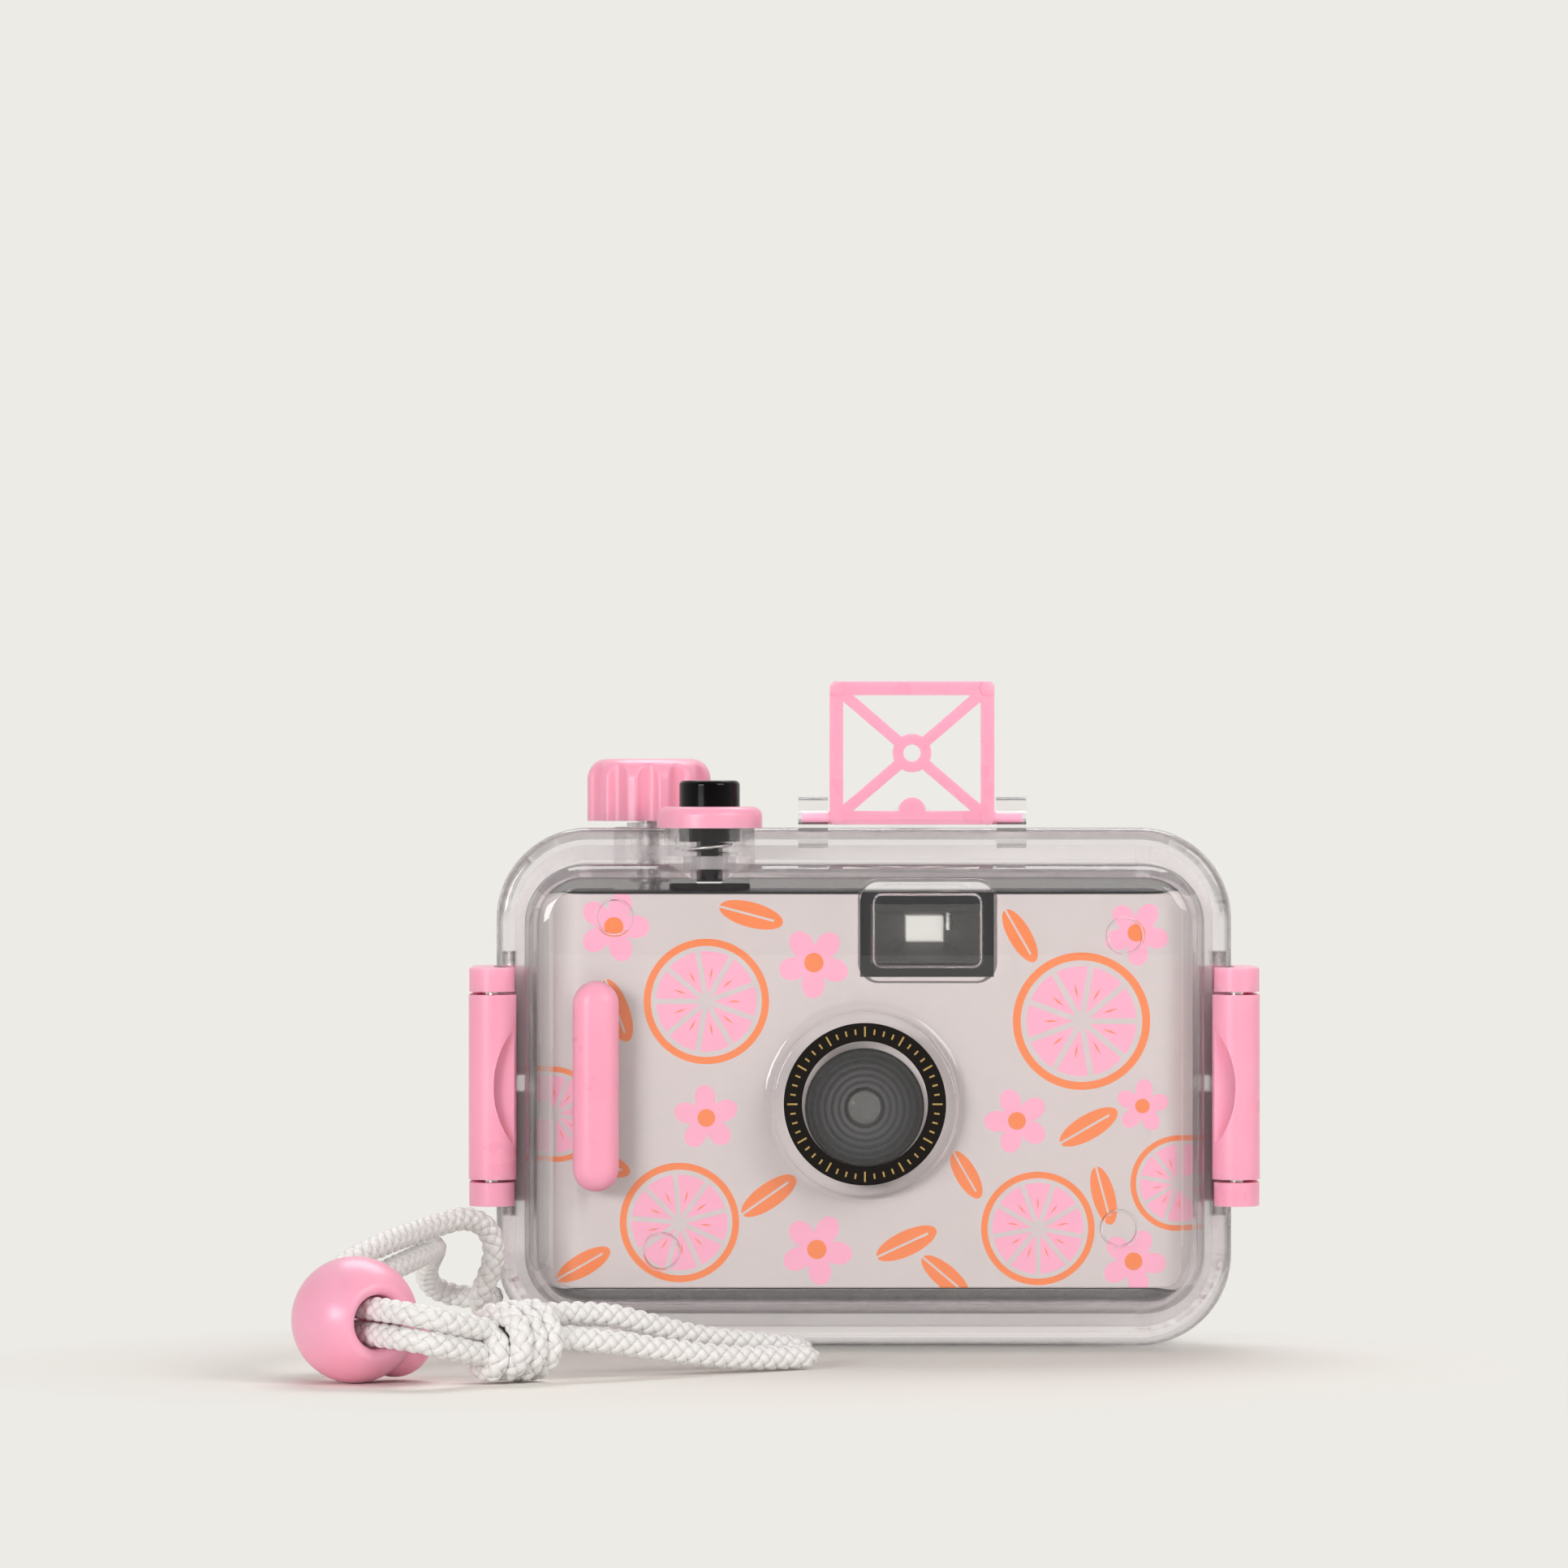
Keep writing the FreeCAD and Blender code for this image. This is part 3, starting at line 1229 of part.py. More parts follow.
def camera_closers():
    """Top cover, back door, door latch and screws."""
    middle_x = camera_across
    width = camera_width
    deck = camera_top - top_thickness
    top = body("CameraTopCover")
    pad(top, sketch(top, "top", deck,
                    rectangle(middle_x - width / 2, middle_x + width / 2, cover_back,
                              door_front)), top_thickness)
    trim_corners(top, width, camera_height)
    reach = gear_module * (drive_teeth + 2) / 2 + 0.8
    cassette_x = camera_across + cassette_across
    pocket(top, sketch(top, "top", camera_top,
                       rectangle(-knob_across - reach, -knob_across + reach, knob_back - reach,
                                 door_front + 1.0)), top_thickness)
    pocket(top, sketch(top, "top", camera_top,
                       circle(cassette_x, cassette_back, as_size(5.0))), top_thickness)
    pocket(top, sketch(top, "top", camera_top,
                       circle(-counter_across, counter_back - counter_radius * 0.6,
                              as_size(1.6)),
                       *[circle(camera_across + x, y, SCREW_RADIUS) for x, y in SCREWS]),
           top_thickness)
    heads = [circle(camera_across + x, y, SCREW_RADIUS * 2) for x, y in SCREWS]
    pocket(top, sketch(top, "top", camera_top, *heads), as_size(0.8))
    keep(top, "camera_top_cover")
    screws = []
    for index, (x, y) in enumerate(SCREWS):
        across = camera_across + x
        shank = rod(f"Shank{index}", "z", across, as_size(y), deck - 5.0, as_size(SCREW_RADIUS),
                    top_thickness + 4.2)
        head = rod(f"Head{index}", "z", across, as_size(y), camera_top - 0.8,
                   as_size(SCREW_RADIUS * 2), as_size(0.8))
        screws.append(join(f"Screw{index}", shank, head))
    keep(join("CoverScrews", *screws), "cover_screws")
    plate_low = lens_height - barrel_drop - plate_height / 2
    door = body("CameraBackDoor")
    pad(door, sketch(door, "front", -door_front,
                     rounded(middle_x, camera_middle, width, camera_height, as_size(3.0))),
        camera_back - door_front, reverse=True)
    fillet(door, as_size(1.5), in_plane("Y", camera_back))
    pocket(door, sketch(door, "front", -door_front,
                        rectangle(-plate_width / 2 - 2.0, plate_width / 2 + 2.0, plate_low - 2.0,
                                  plate_low + plate_height + 2.0)),
           camera_back - door_front - cover_wall)
    pocket(door, sketch(door, "front", -door_front,
                        rectangle(finder_across - 4.2, finder_across + 4.2, finder_height - 3.2,
                                  finder_height + 3.2)), camera_back - door_front)
    pocket(door, sketch(door, "top", camera_top,
                        rectangle(-knob_across - reach, -knob_across + reach, door_front - 1.0,
                                  camera_back + 1.0)), camera_top - gear_bottom + 0.4)
    keep(door, "camera_back_door")
    keep(block("DoorLatch", middle_x - width / 2 - 1.2, middle_x - width / 2,
               door_front - 3.0, door_front + 3.0, camera_middle - 6.0, camera_middle + 6.0),
         "door_latch")


def camera_optics():
    """Lens barrel, its two elements, aperture plate, finder lenses."""
    lens_z = lens_height - barrel_drop
    barrel = body("LensBarrel")
    seat = camera_front + cover_wall
    pad(barrel, sketch(barrel, "front", -seat - 1.2, circle(0, lens_z, barrel_lens_radius + 2.0)),
        as_size(1.2))
    pad(barrel, sketch(barrel, "front", -seat, circle(0, lens_z, barrel_lens_radius)),
        seat - barrel_front)
    fillet(barrel, as_size(0.8), in_plane("Y", barrel_front))
    for step, radius in enumerate((8.2, 6.9, 5.6, 4.4)):
        pocket(barrel, sketch(barrel, "front", -barrel_front, circle(0, lens_z, radius)),
               as_size(0.7 * (step + 1)))
    pocket(barrel, sketch(barrel, "front", -barrel_front, circle(0, lens_z, lens_radius)),
           as_size(4.4))
    pocket(barrel, sketch(barrel, "front", -barrel_front, circle(0, lens_z, lens_radius - 0.8)),
           as_size(6.0))
    keep(barrel, "lens_barrel")
    back = barrel_front + 4.4
    front = front_element(lens_radius.value, 1.6)
    feature("lens_front_element", front,
            Placement(Vector(0, back.value, lens_z.value), Rotation(Vector(1, 0, 0), 90)))
    rear = rod("LensRear", "y", 0, seat - 0.1, lens_z, lens_radius - 0.8, as_size(1.1))
    keep(rear, "lens_rear_element")
    washer("aperture_plate", "y", 0, seat + 1.2, lens_z, as_size(PLATE_RADIUS), as_size(1.6),
           as_size(0.5))
    front_lens = body("ViewfinderFrontLens")
    pad(front_lens, sketch(front_lens, "front", -seat - 1.1,
                           rounded(finder_across, finder_height - 0.8, finder_lens_width,
                                   finder_lens_height, as_size(2.0))), as_size(1.05))
    dish = front_lens.newObject("PartDesign::SubtractiveSphere", "Dish")
    bow = (finder_dish_radius * finder_dish_radius
           + finder_dish_depth * finder_dish_depth) / (finder_dish_depth * 2)
    bind(dish, "Radius", bow)
    move_to(dish, finder_across, seat + 0.05 + finder_dish_depth - bow,
            finder_height - 0.8)
    settle(front_lens, dish)
    keep(front_lens, "viewfinder_front_lens")
    rear_lens = body("ViewfinderRearLens")
    pad(rear_lens, sketch(rear_lens, "front", -(camera_back - 2.0),
                          rectangle(finder_across - 4.2, finder_across + 4.2,
                                    finder_height - 3.2, finder_height + 3.2)), as_size(1.2),
        reverse=True)
    keep(rear_lens, "viewfinder_rear_lens")


def front_element(radius, height):
    """Plano-convex lens that stands on the Z = 0 plane."""
    cap = height * 0.6
    ball = (radius * radius + cap * cap) / (2 * cap)
    dome = Part.makeSphere(ball, Vector(0, 0, height - ball))
    return dome.common(Part.makeCylinder(radius, height))


def shutter_parts():
    """Shutter blade on its pin, and the camera's own button."""
    lens_z = lens_height - barrel_drop
    reach = blade_reach / math.sqrt(2)
    plane = camera_front + cover_wall + 2.1
    disc = rod("BladeDisc", "y", 0, plane, lens_z, blade_radius, as_size(0.3))
    boss = rod("BladeBoss", "y", -reach, plane, lens_z + reach, as_size(1.7), as_size(0.3))
    arm = doc.addObject("Part::Box", "BladeArm")
    bind(arm, "Length", blade_reach)
    bind(arm, "Width", as_size(0.3))
    bind(arm, "Height", as_size(2.0))
    arm.Placement = Placement(Vector(), Rotation(Vector(0, 1, 0), 45))
    move_to(arm, -reach - 0.7071, plane, lens_z + reach - 0.7071)
    hole = rod("BladeHole", "y", -reach, plane - 1, lens_z + reach, as_size(0.85), as_size(3))
    keep(cut("BladeCut", join("BladeShape", disc, boss, arm), hole), "shutter_blade")
    keep(rod("BladePin", "y", -reach, plane - 0.4, lens_z + reach, as_size(0.8), as_size(1.5)),
         "shutter_blade_pin")
    button = body("CameraShutterButton")
    low = camera_button_top - camera_button_height
    pad(button, sketch(button, "top", low, button_outline(as_size(0))), camera_button_height)
    fillet(button, as_size(0.4), in_plane("Z", camera_button_top))
    pad(button, sketch(button, "top", low - 6.0,
                       circle(-shutter_across, -shutter_forward + 2.0, BUTTON_STEM)),
        as_size(6.0))
    keep(button, "camera_shutter_button")


def film_parts():
    """Take-up spool with its wheel, counter, sprocket, rewind knob and pressure plate."""
    low = camera_bottom + 3.0
    deck = camera_top - top_thickness
    roof = deck - 4.5
    turn = mesh_angle.value + 180.0
    shape = gear(wheel_teeth.value, gear_module.value, gear_height.value, SPINDLE)
    half_tooth = 180.0 / wheel_teeth.value
    feature("advance_wheel", shape,
            Placement(Vector(spool_x.value, spool_y.value, gear_bottom.value),
                      Rotation(Vector(0, 0, 1), turn + half_tooth)))
    spool = [rod("SpoolSpindle", "z", spool_x, spool_y, low - 1.5, as_size(SPINDLE),
                 gear_bottom + gear_height - low + 1.5),
             rod("SpoolCore", "z", spool_x, spool_y, low + 0.5, spool_core, roof - low - 1.0),
             rod("SpoolFoot", "z", spool_x, spool_y, low + 0.5, spool_radius, as_size(1.2)),
             rod("SpoolHead", "z", spool_x, spool_y, roof - 1.7, spool_radius, as_size(1.2))]
    slot = block("SpoolSlot", spool_x - spool_core - 1, spool_x + spool_core + 1,
                 spool_y - 0.5, spool_y + 0.5, low + 12.0, roof - 12.0)
    keep(cut("TakeUpSpool", join("SpoolShape", *spool), slot), "take_up_spool")
    keep(rod("FrameCounter", "z", -counter_across, counter_back, deck - 1.9, counter_radius,
             as_size(1.6)), "frame_counter")
    sprocket_parts(low, roof)
    cassette_x = camera_across + cassette_across
    rewind = body("RewindKnob")
    pad(rewind, sketch(rewind, "top", deck - 2.2, circle(cassette_x, cassette_back,
                                                          rewind_radius)), as_size(1.9))
    pad(rewind, sketch(rewind, "top", deck - 0.4, circle(cassette_x, cassette_back, 4.6)),
        rewind_rise + 0.4)
    pad(rewind, sketch(rewind, "top", roof - 5.0, circle(cassette_x, cassette_back,
                                                          SPINDLE + 0.5)), deck - roof + 3.0)
    pad(rewind, sketch(rewind, "top", roof - 5.0,
                       rectangle(cassette_x - 4.0, cassette_x + 4.0, cassette_back - 0.7,
                                 cassette_back + 0.7)), as_size(4.0))
    keep(rewind, "rewind_knob")
    plate_low = lens_height - barrel_drop - plate_height / 2
    keep(block("PressurePlate", -plate_width / 2, plate_width / 2, door_front + 0.3,
               door_front + 1.3, plate_low, plate_low + plate_height), "pressure_plate")
    spring_front = door_front + 1.3
    spring_back = camera_back - cover_wall
    leaf = body("PressureSpring")
    pad(leaf, sketch(leaf, "top", plate_low + 10.0,
                     polygon((as_size(-15.0), spring_back), (as_size(-12.0), spring_back),
                             (as_size(-3.0), spring_front + 0.4),
                             (as_size(3.0), spring_front + 0.4), (as_size(12.0), spring_back),
                             (as_size(15.0), spring_back), (as_size(15.0), spring_back - 0.4),
                             (as_size(12.2), spring_back - 0.4), (as_size(3.2), spring_front),
                             (as_size(-3.2), spring_front), (as_size(-12.2), spring_back - 0.4),
                             (as_size(-15.0), spring_back - 0.4))), as_size(12.0))
    keep(leaf, "pressure_spring")


def sprocket_parts(low, roof):
    """Shaft with two rings of eight teeth that take the film's holes."""
    core = rod("SprocketCore", "z", -sprocket_across, sprocket_back, low + 0.5, sprocket_radius,
               roof - low - 1.0)
    teeth = []
    for up in (14.0, 39.0):
        for index in range(4):
            tooth = doc.addObject("Part::Box", f"Tooth{int(up)}_{index}")
            bind(tooth, "Length", (sprocket_radius + 0.9) * 2)
            bind(tooth, "Width", as_size(0.9))
            bind(tooth, "Height", as_size(1.4))
            angle = 45.0 * index
            turn = Rotation(Vector(0, 0, 1), angle)
            tooth.Placement = Placement(Vector(), turn)
            corner = turn.multVec(Vector(1, 0, 0))
            across = turn.multVec(Vector(0, 0.45, 0))
            half = sprocket_radius + 0.9
            move_to(tooth, -sprocket_across - half * corner.x - across.x,
                    sprocket_back - half * corner.y - across.y, low + up)
            teeth.append(tooth)
    keep(join("FilmSprocket", core, *teeth), "film_sprocket")


# Strap: one braided cord through the lug, both strands through the ball lock, an overhand knot
# and two tails. The routes are chosen by hand.

BALL = Vector(-81.5, -86.0, ball_radius.value)
HOLE_AXIS = Vector(0.545, -0.8384, 0.0)
PRESS_AXIS = Vector(0.7686, 0.4996, -0.3995)
KNOT = Vector(-56.3, -85.7, knot_radius.value)
KNOT_AXIS = Vector(0.81, 0.5864, 0.0)

STRAND_LONG = [
    (-63.0, -3.0, 8.0), (-63.0, -7.2, 8.0), (-64.0, -12.6, 6.4), (-64.6, -17.0, 9.0),
    (-62.6, -19.6, 13.0), (-61.6, -20.8, 17.4), (-63.0, -22.6, 21.3), (-66.4, -26.4, 23.0),
    (-70.6, -32.4, 22.0), (-74.8, -41.4, 21.0), (-78.8, -51.2, 20.0), (-83.4, -59.8, 18.0),
    (-88.2, -66.6, 14.4), (-89.6, -73.6, 12.3), (-75.0, -96.0, 12.05), (-69.6, -98.6, 11.3),
    (-64.2, -94.0, 9.7), (-59.5, -88.2, 8.4)]
STRAND_SHORT = [
    (-63.0, -3.0, 8.0), (-63.0, 1.0, 8.0), (-65.0, 6.0, 7.4), (-70.0, 7.8, 7.6),
    (-73.6, 3.8, 9.4), (-74.2, -2.6, 12.4), (-72.8, -9.8, 15.6), (-71.8, -18.6, 17.4),
    (-71.8, -27.4, 17.9), (-73.0, -36.0, 17.3), (-75.8, -45.0, 16.4), (-80.0, -54.0, 14.8),
    (-85.8, -62.6, 11.6), (-89.6, -73.6, 8.15), (-75.0, -96.0, 8.05), (-69.6, -98.6, 7.3),
    (-64.2, -94.0, 5.7), (-59.5, -88.2, 4.4)]
TAIL_FRONT = [
    (-52.0, -86.0, 7.4), (-43.0, -80.5, 6.4), (-34.0, -74.8, 4.6), (-25.0, -69.0, 3.0),
    (-16.5, -62.8, 2.0), (-8.5, -57.0, 1.95)]
TAIL_REAR = [
    (-52.5, -83.0, 10.6), (-43.5, -77.0, 10.7), (-35.5, -71.0, 8.3), (-28.0, -65.0, 5.8),
    (-18.5, -58.8, 4.3), (-9.6, -52.6, 3.0)]

# The whole strap moves with the hole in its lug.
STRAP_SHIFT = Vector(-strap_hole_across.value - STRAND_LONG[0][0], 0, 0)


def cord(label, points):
    """Tube along straight runs joined by tangent arcs as large as the runs allow."""
    spots = [Vector(*point) + STRAP_SHIFT for point in points]
    edges = []
    start = spots[0]
    least = 1e9
    for before, corner, after in zip(spots, spots[1:], spots[2:]):
        back = (before - corner)
        ahead = (after - corner)
        trim = 0.45 * min(back.Length, ahead.Length)
        inner = back.getAngle(ahead)
        radius = trim * math.tan(inner / 2)
        least = min(least, radius)
        enter = corner + back.normalize() * trim
        leave = corner + ahead.normalize() * trim
        inward = (back + ahead).normalize()
        middle = corner + inward * (radius / math.sin(inner / 2) - radius)
        edges.append(Part.LineSegment(start, enter).toShape())
        edges.append(Part.Arc(enter, middle, leave).toShape())
        start = leave
    edges.append(Part.LineSegment(start, spots[-1]).toShape())
    route = Part.Wire(edges)
    half = cord_diameter.value / 2
    section = Part.Wire(Part.makeCircle(half, spots[0], spots[1] - spots[0]))
    tube = route.makePipeShell([section], True, False)
    wanted = math.pi * half * half * route.Length
    print(f"{label}: length {route.Length:.1f}, least radius {least:.1f}, "
          f"volume {tube.Volume / wanted:.4f} of section times length")
    feature(label, tube)


def strap():
    cord("strap_strand_long", STRAND_LONG)
    cord("strap_strand_short", STRAND_SHORT)
    cord("strap_tail_front", TAIL_FRONT)
    cord("strap_tail_rear", TAIL_REAR)
    half = knot_length.value / 2
    full = knot_radius.value
    low = full * 0.55
    waist = full * 0.86
    lobe = half / 3
    spots = [Vector(-half, 0, 0), Vector(-half, low, 0), Vector(-2.2 * lobe, full * 0.92, 0),
             Vector(-lobe, waist, 0), Vector(0, full, 0), Vector(lobe, waist, 0),
             Vector(2.2 * lobe, full * 0.92, 0), Vector(half, low, 0), Vector(half, 0, 0)]
    outline = [Part.LineSegment(spots[0], spots[1]).toShape(),
               Part.Arc(spots[1], spots[2], spots[3]).toShape(),
               Part.Arc(spots[3], spots[4], spots[5]).toShape(),
               Part.Arc(spots[5], spots[6], spots[7]).toShape(),
               Part.LineSegment(spots[7], spots[8]).toShape(),
               Part.LineSegment(spots[8], spots[0]).toShape()]
    lump = Part.Face(Part.Wire(outline)).revolve(Vector(), Vector(1, 0, 0), 360)
    turn = Rotation(Vector(1, 0, 0), KNOT_AXIS)
    feature("strap_knot", lump, Placement(KNOT + STRAP_SHIFT, turn))


def cord_lock():
    """Ball with a hole for the cord, a plunger with its own cross slot, and a spring."""
    turn = Rotation(HOLE_AXIS, Vector(), PRESS_AXIS, "ZXY")
    ball = body("CordLockBody")
    sphere = ball.newObject("PartDesign::AdditiveSphere", "Ball")
    bind(sphere, "Radius", ball_radius)
    settle(ball, sphere)
    pocket(ball, sketch(ball, "side", ball_radius, circle(0, 0, ball_hole)), ball_radius * 2)
    mouth = root(ball_radius * ball_radius - ball_hole * ball_hole)
    fillet(ball, ball_rim, lambda box: in_plane("X", mouth)(box) or in_plane("X", -mouth)(box))
    pocket(ball, sketch(ball, "top", ball_radius, circle(0, 0, plunger_radius + plunger_play)),
           ball_radius + plunger_bore_end)
    pocket(ball, sketch(ball, "top", ball_radius, circle(0, 0, lock_spring_pocket)),
           ball_radius + lock_spring_seat)
    place = BALL + STRAP_SHIFT
    ball.Placement = Placement(place, turn)
    keep(ball, "cord_lock_body")
    plunger = body("CordLockPlunger")
    top = plunger_reach + plunger_radius
    pad(plunger, sketch(plunger, "top", -plunger_back, circle(0, 0, plunger_radius)),
        plunger_back + top)
    fillet(plunger, plunger_radius * 0.98, in_plane("Z", top))
    pocket(plunger, sketch(plunger, "side", plunger_radius,
                           rounded(as_size(0), slot_shift, ball_hole * 2, slot_length,
                                   ball_hole - 0.1)), plunger_radius * 2)
    plunger.Placement = Placement(place, turn)
    keep(plunger, "cord_lock_plunger")
    height = (lock_spring_seat - plunger_back).value
    spring = coil(lock_spring_radius.value, lock_spring_wire.value, lock_spring_turns.value,
                  height)
    feature("cord_lock_spring", spring,
            Placement(place - PRESS_AXIS * lock_spring_seat.value,
                      Rotation(Vector(0, 0, 1), PRESS_AXIS)))


front_shell()
front_trim()
shutter_push()
sports_finder()
rear_shell()
rear_seal()
latches()
winding()
camera_covers()
camera_chassis()
camera_closers()
camera_optics()
shutter_parts()
film_parts()
strap()
cord_lock()
doc.recompute()

for item in doc.Objects:
    if "Invalid" in item.State or "Error" in item.State:
        raise RuntimeError(f"{item.Label} failed: {item.State}")
for label, item in parts.items():
    if item.Shape.isNull() or not item.Shape.isValid():
        raise RuntimeError(f"{label} has no valid shape")

os.makedirs("parts", exist_ok=True)
for label, item in parts.items():
    item.Shape.exportStep(f"parts/{label}.step")
print(f"{len(parts)} sub-parts written")
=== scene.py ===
import math
import bmesh
import bpy
import numpy as np
from mathutils import Matrix, Vector


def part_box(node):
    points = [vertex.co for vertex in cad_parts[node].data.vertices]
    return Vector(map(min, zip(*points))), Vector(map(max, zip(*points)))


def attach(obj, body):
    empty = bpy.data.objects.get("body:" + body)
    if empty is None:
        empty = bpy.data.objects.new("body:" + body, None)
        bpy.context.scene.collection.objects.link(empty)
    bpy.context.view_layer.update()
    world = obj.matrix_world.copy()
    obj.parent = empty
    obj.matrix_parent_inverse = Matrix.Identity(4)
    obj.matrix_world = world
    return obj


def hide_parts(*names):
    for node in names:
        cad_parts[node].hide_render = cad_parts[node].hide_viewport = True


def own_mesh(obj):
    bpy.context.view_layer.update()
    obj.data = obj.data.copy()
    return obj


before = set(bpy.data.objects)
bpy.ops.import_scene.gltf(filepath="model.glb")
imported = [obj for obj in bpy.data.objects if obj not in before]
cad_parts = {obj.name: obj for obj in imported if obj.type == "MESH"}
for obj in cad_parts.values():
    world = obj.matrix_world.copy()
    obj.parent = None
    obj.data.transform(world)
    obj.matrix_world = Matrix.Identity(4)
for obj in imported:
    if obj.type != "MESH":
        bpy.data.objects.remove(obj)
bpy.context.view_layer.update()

scene = bpy.context.scene
scene.view_settings.view_transform = "Standard"


# Viewpoint: a long lens level with the winding knob, a little to the left of the middle, as a
# product is photographed on a table.

lens = bpy.data.cameras.new("Viewpoint")
lens.lens = 176.8
lens.sensor_width = 36.0
lens.clip_start = 0.01
viewpoint = bpy.data.objects.new("Viewpoint", lens)
viewpoint.location = (-0.0135, -1.306, 0.0949)
viewpoint.rotation_euler = (math.radians(90), 0, 0)
scene.collection.objects.link(viewpoint)
scene.camera = viewpoint


# Wrist strap: two runs of white braided nylon from the lug through the ball to an overhand knot,
# and the two tails past it. Eight plump yarns, four each way, cross over and under each other.

class Shading:
    """A tree of nodes, written as plain sums."""

    def __init__(self, tree):
        self.tree = tree

    def node(self, kind, inputs=(), output=0, **settings):
        """Add a node: first its settings, then the values or links of its sockets."""
        made = self.tree.nodes.new(kind)
        for key, value in settings.items():
            setattr(made, key, value)
        for key, value in dict(inputs).items():
            self.feed(made.inputs[key], value)
        return Flow(self, made.outputs[output])

    def feed(self, socket, value):
        if isinstance(value, Flow):
            self.tree.links.new(value.socket, socket)
        elif isinstance(value, tuple) and len(value) == 3 and socket.type == "RGBA":
            socket.default_value = (*value, 1)
        else:
            socket.default_value = value

    def place(self):
        """The point on the surface, in the part's own frame."""
        return self.node("ShaderNodeTexCoord", output="Object")

    def share(self, place, axis):
        return self.node("ShaderNodeSeparateXYZ", {0: place}, output=axis)

    def reach(self, place):
        """How far a point is from the middle of its own frame."""
        return self.node("ShaderNodeVectorMath", {0: place}, output="Value",
                         operation="LENGTH")

    def ray(self, *kinds):
        """1 for light paths of any of these kinds."""
        found = [self.node("ShaderNodeLightPath", output=f"Is {kind} Ray") for kind in kinds]
        seen = found[0]
        for other in found[1:]:
            seen = seen.most(other)
        return seen

    def background(self):
        """1 where the sheet or the room is looked at, also in gloss or through clear plastic,
        and not where it lights a dull surface."""
        lighting = self.node("ShaderNodeLightPath", output="Diffuse Depth") > 0.5
        return self.ray("Camera", "Glossy", "Transmission") * (1 - lighting)

    def noise(self, where, scale, detail=2.0, roughness=0.5):
        return self.node("ShaderNodeTexNoise", {"Vector": where, "Scale": scale,
                                                "Detail": detail, "Roughness": roughness})

    def spread(self, value, low, high, to_low=0.0, to_high=1.0):
        return self.node("ShaderNodeMapRange", {"Value": value, "From Min": low,
                                                "From Max": high, "To Min": to_low,
                                                "To Max": to_high})

    def vary(self, grain, low=0.0, high=1.0):
        """A noise's usual run spread between two values."""
        return self.spread(grain, 0.3, 0.7, low, high)

    def blend(self, share, first, second):
        """The first colour where the share is 0, and the second where it is 1."""
        return self.node("ShaderNodeMix", {0: share, 6: first, 7: second}, output=2,
                         data_type="RGBA")


class Finish(Shading):
    """A material with one shader. Patterns drive some of its values, and its plain colour and
    values stand for them where no pattern is shown."""

    def __init__(self, name, colour, **fixed):
        self.material = bpy.data.materials.new(name)
        self.material.use_nodes = True
        super().__init__(self.material.node_tree)
        self.shader = self.tree.nodes["Principled BSDF"]
        self.shader.inputs["Base Color"].default_value = (*colour, 1)
        for key, value in fixed.items():
            self.shader.inputs[key.replace("_", " ")].default_value = value

    def drive(self, name, value):
        self.feed(self.shader.inputs[name], value)

    def bump(self, height, strength, distance):
        self.drive("Normal", self.node("ShaderNodeBump", {"Height": height,
                                                          "Strength": strength,
                                                          "Distance": distance},
                                       output="Normal"))

    def grain(self, scale, strength, distance):
        """An even fine grain all over the surface."""
        self.bump(self.noise(self.place(), scale), strength, distance)

    def uneven_gloss(self, scale, low, high):
        """Roughness that wanders between two values."""
        self.drive("Roughness", self.vary(self.noise(self.place(), scale), low, high))


class Flow:
    """One value on its way through a tree of nodes."""

    def __init__(self, shading, socket):
        self.shading = shading
        self.socket = socket

    def sum(self, kind, *terms):
        return self.shading.node("ShaderNodeMath", dict(enumerate(terms)), operation=kind)

    def __add__(self, other):
        return self.sum("ADD", self, other)

    def __radd__(self, other):
        return self.sum("ADD", other, self)

    def __sub__(self, other):
        return self.sum("SUBTRACT", self, other)

    def __rsub__(self, other):
        return self.sum("SUBTRACT", other, self)

    def __mul__(self, other):
        return self.sum("MULTIPLY", self, other)

    def __rmul__(self, other):
        return self.sum("MULTIPLY", other, self)

    def __truediv__(self, other):
        return self.sum("DIVIDE", self, other)

    def __rtruediv__(self, other):
        return self.sum("DIVIDE", other, self)

    def __lt__(self, other):
        return self.sum("LESS_THAN", self, other)

    def __gt__(self, other):
        return self.sum("GREATER_THAN", self, other)

    def most(self, other):
        return self.sum("MAXIMUM", self, other)

    def size(self):
        """The value without its sign."""
        return self.sum("ABSOLUTE", self)

    def folded(self, width):
        """The value folded back and forth between 0 and a width."""
        return self.sum("PINGPONG", self, width)


nylon_dull = (0.76, 0.75, 0.74)
nylon_bright = (0.88, 0.87, 0.86)
nylon_worn = (0.73, 0.715, 0.69)
fibre_scale = (26.0, 420.0, 1.0)


def braid_finish():
    """White nylon: fine fibres along each yarn, a silky sheen, and a little grime between."""
    nylon = Finish("BraidedNylon", (0.9, 0.875, 0.84), Roughness=0.42, Sheen_Weight=0.25,
                   Sheen_Roughness=0.4, Subsurface_Weight=0.12, Subsurface_Scale=0.0008,
                   Subsurface_Radius=(1.0, 0.95, 0.9))
    yarn = nylon.node("ShaderNodeUVMap", uv_map="yarn")
    drawn_out = nylon.node("ShaderNodeMapping", {"Vector": yarn, "Scale": fibre_scale})
    fibres = nylon.noise(drawn_out, 1.0, 3.0, 0.6)
    worn = nylon.spread(nylon.noise(nylon.place(), 130.0), 0.42, 0.75, 0.0, 0.35)
    white = nylon.blend(nylon.vary(fibres), nylon_dull, nylon_bright)
    nylon.drive("Base Color", nylon.blend(worn, white, nylon_worn))
    nylon.drive("Roughness", nylon.vary(fibres, 0.5, 0.34))
    nylon.bump(fibres, 0.35, 0.00012)
    return nylon.material


